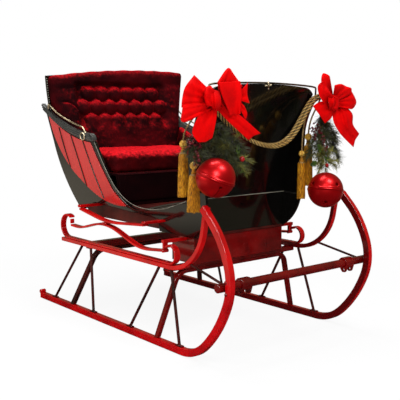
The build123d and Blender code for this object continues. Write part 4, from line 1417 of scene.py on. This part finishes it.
BELLS = {
    # centre, the axis out of the closed cup, where a hole looks, latitude of the holes, hole radius, its lobes
    "right": ((0.660, -0.394, 0.839), (0.230, 0.276, 0.933), (0.87, -0.36, -0.30), -18.5, 0.0062, 0),
    "left": ((0.699, 0.313, 0.740), (0.119, -0.190, -0.974), (0.92, -0.08, 0.38), -15.0, 0.0092, 5),
}
for name, (centre, axis, look, latitude, hole, lobes) in BELLS.items():
    turn = Vector(axis).normalized().to_track_quat("Z", "Y").to_matrix()
    wish = turn.transposed() @ Vector(look)
    shell = bell(f"jingle_bell_{name}", centre, axis, math.atan2(wish.y, wish.x), math.radians(latitude), hole,
                 lobes)
    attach(shell, BODY)
    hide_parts("jingle_bells")
    print(shell.name, len(shell.data.polygons), "faces")

# %% [markdown]
# The skirt of a tassel is a ring of long threads. Hair particles would give them, but they aren't plain faces. The
# recipe stands one short line at each place round a ring, bends it down the flare with a little sway of its own, and
# gives every thread a thin section. A fixed seed keeps the sway the same in every run.

# %% The recipe for a fringe


def fringe_recipe(name, finish):
    fringe = Recipe(name)
    count = fringe.size("threads", 60, "Int")
    top_r = fringe.size("top_radius", 0.016)
    low_r = fringe.size("low_radius", 0.028)
    drop = fringe.size("drop", 0.20)
    thick = fringe.size("thread_radius", 0.0016)
    seed = fringe.size("seed", 1, "Int")
    hairs = fringe.node("GeometryNodeMeshLine", {"mode": "OFFSET"},
                        {"Count": count, "Start Location": (0, 0, 0), "Offset": (0, 0, 0)})
    single = fringe.node("GeometryNodeCurvePrimitiveLine", {"mode": "POINTS"},
                         {"Start": (0, 0, 0), "End": (0, 0, -1)})
    single = fringe.node("GeometryNodeResampleCurve", {"mode": "COUNT"}, {"Curve": single, "Count": 12})
    which = fringe.node("GeometryNodeInputIndex")
    held = fringe.node("GeometryNodeStoreNamedAttribute", {"data_type": "FLOAT", "domain": "POINT"},
                       {"Geometry": hairs, "Name": "which", "Value": which})
    placed = fringe.node("GeometryNodeInstanceOnPoints", None, {"Points": held, "Instance": single})
    real = fringe.node("GeometryNodeRealizeInstances", None, {"Geometry": placed})
    number = fringe.node("GeometryNodeInputNamedAttribute", {"data_type": "FLOAT"}, {"Name": "which"})
    down = fringe.node("GeometryNodeSplineParameter", out="Factor")
    jitter = fringe.pick(-1.0, 1.0, number, seed)
    second = fringe.pick(0.0, 1.0, number, seed + 7)
    sway = fringe.maths("SINE", down * 5 + second * TAU) * 0.03 * jitter
    angle = number / count * TAU + sway + jitter * 0.05
    flare = top_r + (low_r - top_r) * fringe.maths("POWER", down, 0.62)
    radius = flare * (1 + jitter * 0.05 * down)
    length = drop * (1 + (second - 0.5) * 0.05)
    spot = fringe.node("ShaderNodeCombineXYZ", None, {0: radius * fringe.maths("COSINE", angle),
                                                      1: radius * fringe.maths("SINE", angle),
                                                      2: 0 - length * down})
    bent = fringe.node("GeometryNodeSetPosition", None, {"Geometry": real, "Position": spot})
    return fringe.finished(fringe.rounded(bent, 5, thick), finish)

# %% [markdown]
# A tassel is a turned wooden ball wrapped in silk, a bound neck, and a skirt of threads over a solid core. Two
# layers of threads, one inside the other, hide the core without a thread too many.

# %% The four tassels
FRINGE = fringe_recipe("tassel_fringe", GOLD_FRINGE)
TASSELS = {
    # x, y, top of the head, bottom of the skirt, radius of the skirt
    "right": {"outer": (0.440, -0.404, 1.000, 0.738, 0.027), "inner": (0.530, -0.415, 0.905, 0.675, 0.032)},
    "left": {"outer": (0.579, 0.311, 1.022, 0.756, 0.026), "inner": (0.584, 0.258, 0.935, 0.692, 0.021)},
}


def shifted(piece, place):
    """Move a mesh's own points."""
    piece.data.transform(Matrix.Translation(Vector(place)))
    return piece


tassels = {}
for side_name, pair in TASSELS.items():
    for place, (x, y, top, bottom, radius) in pair.items():
        head = 0.0185 if place == "outer" or side_name == "right" else 0.016
        skirt_top = top - 0.058
        ball = [(max(0.0, head * math.cos(a)), top - head + 0.002 + head * math.sin(a))
                for a in (math.radians(-90 + 15 * i) for i in range(13))]
        neck = [(0.0, skirt_top - 0.010), (0.011, skirt_top - 0.008), (0.0125, skirt_top - 0.002),
                (0.0108, skirt_top + 0.003), (0.0128, skirt_top + 0.007), (0.0105, skirt_top + 0.011),
                (0.0085, skirt_top + 0.016), (0.0085, skirt_top + 0.024), (0.0, skirt_top + 0.026)]
        collar = [(0.0, skirt_top - 0.014), (0.013, skirt_top - 0.013), (0.0165, skirt_top - 0.007),
                  (0.015, skirt_top + 0.001), (0.009, skirt_top + 0.004), (0.0, skirt_top + 0.005)]
        core = [(0.0, bottom + 0.010), (radius * 0.86, bottom + 0.008), (radius * 0.80, bottom + 0.07),
                (radius * 0.72, skirt_top - 0.06), (radius * 0.55, skirt_top - 0.015), (0.008, skirt_top),
                (0.0, skirt_top + 0.001)]
        parts = [wound("ball", ball, GOLD_KNOB, (x, y, 0)), wound("neck", neck, GOLD_FRINGE, (x, y, 0)),
                 wound("collar", collar, PALE_CORD, (x, y, 0)), wound("core", core, GOLD_FRINGE, (x, y, 0))]
        for threads, shrink, seed in ((58, 1.0, 3), (46, 0.90, 11)):
            skirt = grow("skirt", polyline("seed", [(0, 0, 0), (0, 0, -0.001)]), FRINGE, threads=threads,
                         top_radius=0.0185 * shrink, low_radius=radius * shrink - 0.0016,
                         drop=skirt_top - 0.004 - bottom, thread_radius=0.00185, seed=seed + len(tassels))
            parts.append(shifted(skirt, (x, y, skirt_top - 0.004)))
        tassel = joined(f"tassel_{side_name}_{place}", parts)
        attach(tassel, BODY)
        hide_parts("tassels")
        tassels[side_name, place] = tassel
        print(tassel.name, len(tassel.data.polygons), "faces")

# %% [markdown]
# The tassels' cords are the same laid rope in a thinner size. Each leaves its bow and hangs down to its own ball, so
# the tassel belongs to the cord that carries it.

# %% Cords of the tassels
for side_name, routes in TASSEL_CORDS.items():
    for place, route in routes.items():
        path = line_points(route)
        cord = twisted(f"tassel_rope_{side_name}_{place}", path, TASSEL_ROPE, 0.0022, 0.0023, 0.034)
        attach(cord, BODY)
        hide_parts(f"tassel_cord_{side_name}_{place}")
        print(cord.name, round(route_length(path), 3), "m")

# %% [markdown]
# The hand rail over each arm and the rein rail over the dash are drawn brass rod, bent cold. Each is one smooth line
# with a round section, which gives the even bends that a bender leaves. The hand rail ends in a ring that hangs in
# front of the arm, below a small turned knob.

# %% Bright rails
HAND_RAIL = [(-0.752, 1.152), (-0.744, 1.180), (-0.735, 1.178), (-0.667, 1.122), (-0.523, 1.069), (-0.455, 1.054),
             (-0.437, 1.048), (-0.428, 1.034), (-0.425, 1.014)]
RING_X, RING_Z, RING_R = -0.425, 0.998, 0.021
KNOB = [(0.0, -0.008), (0.006, -0.0065), (0.0085, 0.0), (0.006, 0.0065), (0.0, 0.008)]
for side_name, side in SIDES.items():
    line = [(x, side * (half_width(x, z) + 0.003), z) for x, z in HAND_RAIL]
    rod = rod_along(line, 0.0042, BRASS)
    ring_y = side * (half_width(RING_X, RING_Z) + 0.0255)
    circle = [(RING_X + 0.018 * math.sin(a), ring_y + side * 0.002 * math.cos(a) + 0.003 * math.sin(a),
               RING_Z + RING_R * math.cos(a)) for a in (TAU * i / 12 for i in range(12))]
    ring = rod_along(circle, 0.0032, BRASS, order=4, closed=True)
    knob = wound("knob", KNOB, BRASS, (RING_X, line[-1][1], 1.016), 20)
    rail = joined(f"hand_rail_{side_name}", [rod, ring, knob])
    shade_smooth(rail.data)
    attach(rail, BODY)
    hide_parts("hand_rails")
    print(rail.name, len(rail.data.polygons), "faces")

half_rein = [(0.572, -0.366, 1.206), (0.577, -0.366, 1.250), (0.580, -0.356, 1.262), (0.588, -0.180, 1.270)]
rein_line = half_rein + [(0.590, 0.0, 1.2735)] + [(x, -y, z) for x, y, z in half_rein[::-1]]
rein = as_mesh("rein_rod", nurbs_line("rein_rod", rein_line, radius=0.0045), DARK_BRASS)
shade_smooth(rein.data)
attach(rein, BODY)
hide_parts("rein_rail")

# %% [markdown]
# Three reeds run along each arm rail, a pale rod on the bead of the entry is a painted highlight, and a bright line
# follows the crease of the dash. They could be cut into the panels. As thin rods half sunk in the surface they cost
# few faces and give the same line of light. Each is joined, shaded and fixed to the body by one helper.

# %% Reeds and bright lines


def side_line(points, side, out):
    """Points (x, z) on the side wall, `out` metres beyond its face."""
    return [(x, side * (half_width(x, z) + out), z) for x, z in points]


def add_fitting(name, pieces):
    """Join pieces into one shaded fitting that rides on the body."""
    fitting = joined(name, pieces)
    shade_smooth(fitting.data)
    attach(fitting, BODY)
    print(name, len(fitting.data.polygons), "faces")


REED_R = 0.0070
RAIL_UPPER = [(-0.794, 1.180), (-0.716, 1.122), (-0.635, 1.074), (-0.510, 1.036), (-0.376, 1.012)]
RAIL_LOWER = [(-0.788, 1.146), (-0.712, 1.086), (-0.628, 1.041), (-0.500, 1.002), (-0.356, 0.978)]
ENTRY_BEAD = [(-0.350, 0.968), (-0.322, 0.895), (-0.276, 0.798), (-0.205, 0.700), (-0.100, 0.643), (0.015, 0.627),
              (0.150, 0.636), (0.270, 0.665), (0.378, 0.702)]
for side_name, side in SIDES.items():
    reeds = []
    for share in (0.14, 0.5, 0.86):
        middle = [(u[0] + (w[0] - u[0]) * share, u[1] + (w[1] - u[1]) * share)
                  for u, w in zip(RAIL_UPPER, RAIL_LOWER)]
        reeds.append(rod_along(side_line(middle, side, 0.0115), REED_R, MOULDING))
    add_fitting(f"arm_reeds_{side_name}", reeds)
    # The pale rod along the entry bead is a painted highlight.
    add_fitting(f"entry_highlight_{side_name}", [rod_along(side_line(ENTRY_BEAD, side, 0.0042), 0.0017, PIPING)])

crease_half = 0.316 + (0.10 + 0.113 * 0.04) * (0.708 - 0.532)
add_fitting("crease_line", [rod_along([(0.400, -crease_half, 0.7085), (0.4015, 0.0, 0.7085),
                                       (0.400, crease_half, 0.7085)], 0.0020, PIPING)])

# %% [markdown]
# A thin board covered in dark velvet closes the front of the seat box, with a cord along its top and two seams. It
# reuses the pad with rolled edges, because a board under cloth has soft edges as well.

# %% Velvet board below the seat


def board_place(a, b, c):
    z = 0.640 + c
    x = -0.2165 + a
    return x, (b / BOARD_SIZE[1] * 2 - 1) * (half_width(x, z) - WALL - 0.003), z


BOARD_SIZE = (0.011, 0.66, 0.158)
board = rolled_box("seat_front_board", BOARD_SIZE, 0.004, 0.0055, board_place)
board.data.materials.append(DARK_VELVET)
welt = [rod_along([(-0.206, y, 0.652), (-0.2045, y, 0.72), (-0.206, y, 0.790)], 0.0028, DARK_VELVET)
        for y in (-0.30, 0.015)]
welt.append(rod_along([(-0.206, -0.33, 0.790), (-0.2045, 0.0, 0.790), (-0.206, 0.33, 0.790)], 0.0028, DARK_VELVET))
add_fitting("seat_front_velvet", [board] + welt)

# %% [markdown]
# Round heads stand out where tacks hold the seat back and bolts hold the running gear, and a rolled tip ends each
# runner. They are few, so each is a small turned dome placed by its own spacing rather than scattered by a recipe.

# %% Tacks, bolts and tips


def dome(place, way, radius, finish, height=0.6):
    """A round head that stands out of a face towards `way`."""
    profile = [(radius, 0.0), (radius * 0.92, radius * 0.3 * height), (radius * 0.6, radius * 0.8 * height),
               (0.0, radius * height), (0.0, -radius * 0.4), (radius, -radius * 0.4)]
    return wound("head", profile, finish, place, 14, way)


TACK_COUNT, TACKS_TOP, TACKS_DROP = 17, 1.325, 0.215
tacks = []
for i in range(TACK_COUNT):
    z = TACKS_TOP - TACKS_DROP * i / (TACK_COUNT - 1)
    x = back_rear(z) + 0.020
    tacks.append(dome((x, -(half_width(x, z) - 0.004), z), (0.75, -0.65, 0.1), 0.0030, PIPING))
add_fitting("seat_back_tacks", tacks)

RUNNER_Y = 0.475
heads = []
for side in SIDES.values():
    face = side * (RUNNER_Y + 0.015)
    for x, z in ((0.836, 0.405), (0.838, 0.352)):
        heads.append(dome((x, face, z), (0, side, 0), 0.0085, STEEL_BOLT))
    for foot_x in (-0.700, -0.270, 0.086, 0.497):
        for shift in (-0.016, 0.016):
            heads.append(dome((foot_x + shift, side * RUNNER_Y, 0.041), (0, 0, 1), 0.0045, STEEL_BOLT))
    for x in (-0.52, -0.27, 0.10, 0.35):
        heads.append(dome((x, side * 0.438, 0.416), (0, 0, 1), 0.0065, STEEL_BOLT))
    tip = [(0.0, -0.017), (0.0105, -0.017), (0.0125, -0.014), (0.0125, 0.014), (0.0105, 0.017), (0.0, 0.017)]
    heads.append(wound("tip", tip, RUNNER_RED, (-0.862, side * RUNNER_Y, 0.0405), 24, axis=(0, 1, 0)))
add_fitting("bolts_and_tips", heads)

# %% [markdown]
# A small cast ornament sits at the middle of the dash, below the rein rail. It is only a few centimetres wide, so
# five beads over two crossed bars give its outline.

# %% The ornament on the dash
star_parts = []
for y, z in ((0.0, 1.2585), (0.016, 1.262), (-0.016, 1.260), (0.0, 1.274), (0.001, 1.243)):
    size = 0.0062 if y == 0.0 and z < 1.27 else 0.0044
    star_parts.append(dome((0.5935, y, z), (1, 0, 0.05), size, BRASS, height=1.0))
for radius, line in (
        (0.0022, [(0.595, -0.021, 1.256), (0.597, -0.008, 1.262), (0.597, 0.008, 1.257), (0.595, 0.021, 1.265)]),
        (0.0020, [(0.595, 0.002, 1.238), (0.597, -0.002, 1.250), (0.597, 0.002, 1.266), (0.594, 0.0, 1.280)])):
    star_parts.append(rod_along(line, radius, BRASS))
add_fitting("dash_ornament", star_parts)

# %% [markdown]
# Behind each bow hangs a spray of pine. A recipe scatters needles along a twig, each one a thin blade that leans
# forward along the twig and out from it, with its own length and twist from a fixed seed. A card with a picture of
# needles would be lighter, but it would look flat from the side.

# %% The needle recipe


def needle_recipe(name, finish):
    pine = Recipe(name)
    gap = pine.size("gap", 0.0011)
    length = pine.size("needle_length", 0.045)
    lean = pine.size("lean", 0.9)
    thin = pine.size("needle_radius", 0.0010)
    seed = pine.size("seed", 1, "Int")
    twig = pine.node("GeometryNodeMeshToCurve", None, {"Mesh": pine.shape})
    spots = pine.node("GeometryNodeCurveToPoints", {"mode": "LENGTH"}, {"Curve": twig, "Length": gap})
    node = spots.socket.node
    tangent = Wire(pine, node.outputs["Tangent"])
    outward = pine.node("FunctionNodeRandomValue", {"data_type": "FLOAT_VECTOR"},
                        {0: (-1, -1, -1), 1: (1, 1, 1), "Seed": seed}, 0)
    aim = pine.vector("ADD", pine.scaled(pine.vector("NORMALIZE", outward), lean), tangent)
    turn = pine.node("FunctionNodeAlignRotationToVector", {"axis": "Z"}, {"Vector": aim})
    size = pine.pick(0.6, 1.15, seed=seed + 3)
    blade = pine.node("GeometryNodeMeshCone", None,
                      {"Vertices": 3, "Side Segments": 1, "Radius Top": thin * 0.3, "Radius Bottom": thin,
                       "Depth": length})
    needles = pine.node("GeometryNodeInstanceOnPoints", None,
                        {"Points": spots, "Instance": blade, "Rotation": turn, "Scale": size})
    return pine.finished(needles, finish)


PINE = needle_recipe("pine_needles", NEEDLE)
YOUNG = needle_recipe("young_needles", PALE_NEEDLE)
print("needle recipe inputs", list(PINE.ids))

# %% [markdown]
# A twig is a bent line with a thin section. Berries and buds are turned beads. A holly leaf is a grid that is folded
# along its middle vein, with a wavy, spined edge, and then given a thickness.

# %% Twigs, berries and holly leaves


def twig_piece(points, recipe, seed, length=0.050, gap=0.0009, lean=0.8, thick=0.0016):
    """A bent twig and its needles."""
    wood = as_mesh("wood", nurbs_line("wood", points, radius=thick), TWIG)
    if not recipe:
        return [wood]
    path = line_points(points)
    blades = grow("blades", polyline("twig", path), recipe, gap=gap, needle_length=length, lean=lean, seed=seed)
    return [wood, blades]


def bead(place, radius, finish, squash=1.0, sides=14):
    """A berry or a bud."""
    return wound("bead", half_round(radius, 8, squash), finish, place, sides)


def holly_leaf(place, aim, up, length, finish):
    """A wavy, spined leaf, folded along its middle vein."""
    aim, up = Vector(aim).normalized(), Vector(up).normalized()
    across = aim.cross(up).normalized()
    up = across.cross(aim)
    rows, columns = 28, 8
    points, faces = [], []
    for i in range(rows + 1):
        t = i / rows
        half = 0.27 * length * math.sin(math.pi * t) ** 0.75 * (1 + 0.30 * math.cos(TAU * 3 * t + math.pi))
        for j in range(columns + 1):
            w = j / columns * 2 - 1
            lift = 0.22 * abs(w) * half + 0.06 * length * math.sin(TAU * 3 * t) * w * w - 0.12 * length * t * t
            points.append(Vector(place) + aim * t * length + across * half * w + up * lift)
    for i in range(rows):
        for j in range(columns):
            k = i * (columns + 1) + j
            faces.append((k, k + 1, k + columns + 2, k + columns + 1))
    leaf = mesh_piece("leaf", points, faces, closed=False)
    body = leaf.modifiers.new("body", "SOLIDIFY")
    body.thickness = 0.0008
    return as_mesh("leaf", leaf, finish)


def drooping(start, end, sag):
    """A four-point line between two places that hangs by `sag`."""
    start, end = Vector(start), Vector(end)
    drop = Vector((0, 0, -sag))
    return [start, start.lerp(end, 0.35) + drop * 0.4, start.lerp(end, 0.7) + drop, end]

# %% [markdown]
# A spray starts at its heart, behind the bow. A main twig runs to each tip and forks at two places on the way; berry
# clusters, dark buds, leaves and pale young shoots are added by place. The dice have a fixed seed, so every run
# grows the same spray.

# %% How a spray is put together


def spray(name, heart, tips, clusters, buds, leaves, seed, young=()):
    """A spray of pine: twigs from `heart` to the tips, berry clusters, dark buds, holly leaves, young shoots."""
    dice = random.Random(seed)
    pieces = []
    for number, tip in enumerate(tips):
        line = drooping(heart, tip, -0.012)
        pieces += twig_piece(line, PINE, seed + number)
        for fork, part in enumerate((0.45, 0.75)):
            middle = Vector(heart).lerp(Vector(tip), part)
            for side in (-1, 1):
                away = Vector((dice.uniform(-0.02, 0.02), side * dice.uniform(0.03, 0.05), dice.uniform(-0.05, 0)))
                pieces += twig_piece(drooping(middle, middle + away, 0.004), PINE,
                                     seed + 50 + number * 4 + side + fork, length=0.040)
    for number, (start, end) in enumerate(young):
        pieces += twig_piece(drooping(start, end, -0.006), YOUNG, seed + 200 + number, length=0.034, gap=0.0008)
    for start, end, count, radius, finish in clusters:
        line = drooping(start, end, 0.0)
        pieces += twig_piece(line, None, 0, thick=0.0012)
        for k in range(count):
            at = smooth_through(line, (k + 0.5) / count)
            off = Vector((dice.uniform(-1, 1), dice.uniform(-1, 1), dice.uniform(-0.6, 0.6))) * 0.014
            pieces.append(bead(at + off, radius * dice.uniform(0.8, 1.15), finish, 1.05, 10))
    for place in buds:
        pieces.append(bead(Vector(place), 0.0055, BUD, 1.7, 8))
        pieces.append(bead(Vector(place) + Vector((0.004, 0.008, -0.010)), 0.0045, BUD, 1.6, 8))
    for place, aim, up, length in leaves:
        pieces.append(holly_leaf(place, aim, up, length, HOLLY))
    return joined(name, pieces)

# %% [markdown]
# The two sprays are the same greenery with their places listed one by one, so that each fills the corner that its
# bow leaves open.
# Chance alone would leave gaps in one and crowd the other.

# %% The two sprays
spray_right = spray(
    "pine_spray_right", (0.620, -0.392, 1.085),
    [(0.622, -0.535, 0.962), (0.630, -0.500, 0.925), (0.618, -0.455, 0.925), (0.634, -0.340, 0.965),
     (0.628, -0.250, 0.900), (0.620, -0.205, 0.945), (0.640, -0.215, 0.875), (0.622, -0.270, 1.020),
     (0.640, -0.185, 0.890), (0.644, -0.190, 0.950), (0.646, -0.245, 0.872), (0.630, -0.310, 0.990)],
    [((0.632, -0.470, 1.065), (0.640, -0.492, 0.905), 44, 0.0058, BERRY),
     ((0.632, -0.505, 1.035), (0.636, -0.520, 0.975), 16, 0.0056, BERRY)],
    [(0.650, -0.285, 0.995), (0.652, -0.262, 0.972), (0.648, -0.240, 0.985), (0.650, -0.272, 0.955),
     (0.645, -0.365, 1.040), (0.648, -0.350, 1.065)],
    [((0.655, -0.258, 0.985), (0.1, 0.10, -1), (1, 0, 0.2), 0.055),
     ((0.650, -0.205, 0.895), (0.1, -0.5, -1), (1, 0.2, 0.2), 0.050)],
    seed=21,
    young=[((0.650, -0.262, 0.905), (0.652, -0.196, 0.850)), ((0.650, -0.250, 0.930), (0.654, -0.176, 0.905)),
           ((0.648, -0.300, 0.960), (0.652, -0.340, 0.985)), ((0.648, -0.275, 1.000), (0.650, -0.215, 1.060))])
red_berry = bead((0.664, -0.236, 0.918), 0.0125, BRIGHT_BERRY, 1.0, 24)
spray_right = joined("pine_spray_right", [spray_right, red_berry])

spray_left = spray(
    "pine_spray_left", (0.612, 0.372, 1.120),
    [(0.618, 0.276, 0.910), (0.630, 0.330, 0.905), (0.640, 0.400, 0.890), (0.634, 0.470, 0.995),
     (0.640, 0.480, 0.885), (0.640, 0.350, 0.870), (0.634, 0.440, 0.930)],
    [((0.622, 0.330, 1.070), (0.636, 0.392, 0.915), 40, 0.0060, BERRY),
     ((0.620, 0.292, 1.060), (0.628, 0.312, 0.985), 14, 0.0052, BERRY)],
    [(0.642, 0.430, 0.975), (0.640, 0.452, 0.950), (0.640, 0.420, 1.010), (0.640, 0.470, 0.905)],
    [((0.655, 0.345, 0.905), (0.1, 0.9, -0.5), (1, 0, 0.3), 0.075),
     ((0.655, 0.318, 0.925), (0.1, -0.4, 1), (1, 0, 0.3), 0.050),
     ((0.650, 0.300, 0.880), (0.1, -1, -0.3), (1, 0, 0.3), 0.050)],
    seed=77,
    young=[((0.655, 0.345, 0.900), (0.658, 0.292, 0.868)), ((0.655, 0.352, 0.895), (0.660, 0.300, 0.828)),
           ((0.655, 0.360, 0.890), (0.660, 0.420, 0.862)), ((0.655, 0.380, 0.885), (0.660, 0.455, 0.878)),
           ((0.655, 0.350, 0.905), (0.658, 0.332, 0.948)), ((0.655, 0.340, 0.905), (0.658, 0.285, 0.918)),
           ((0.655, 0.370, 0.880), (0.660, 0.360, 0.832)), ((0.655, 0.365, 0.900), (0.662, 0.402, 0.934)),
           ((0.655, 0.385, 0.880), (0.662, 0.440, 0.846)), ((0.655, 0.345, 0.890), (0.662, 0.322, 0.848))])
red_berry = bead((0.672, 0.352, 0.862), 0.0110, BRIGHT_BERRY, 1.0, 24)
spray_left = joined("pine_spray_left", [spray_left, red_berry])
for greens, node in ((spray_right, "greenery_right"), (spray_left, "greenery_left")):
    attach(greens, BODY)
    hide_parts(node)
    print(greens.name, len(greens.data.polygons), "faces")
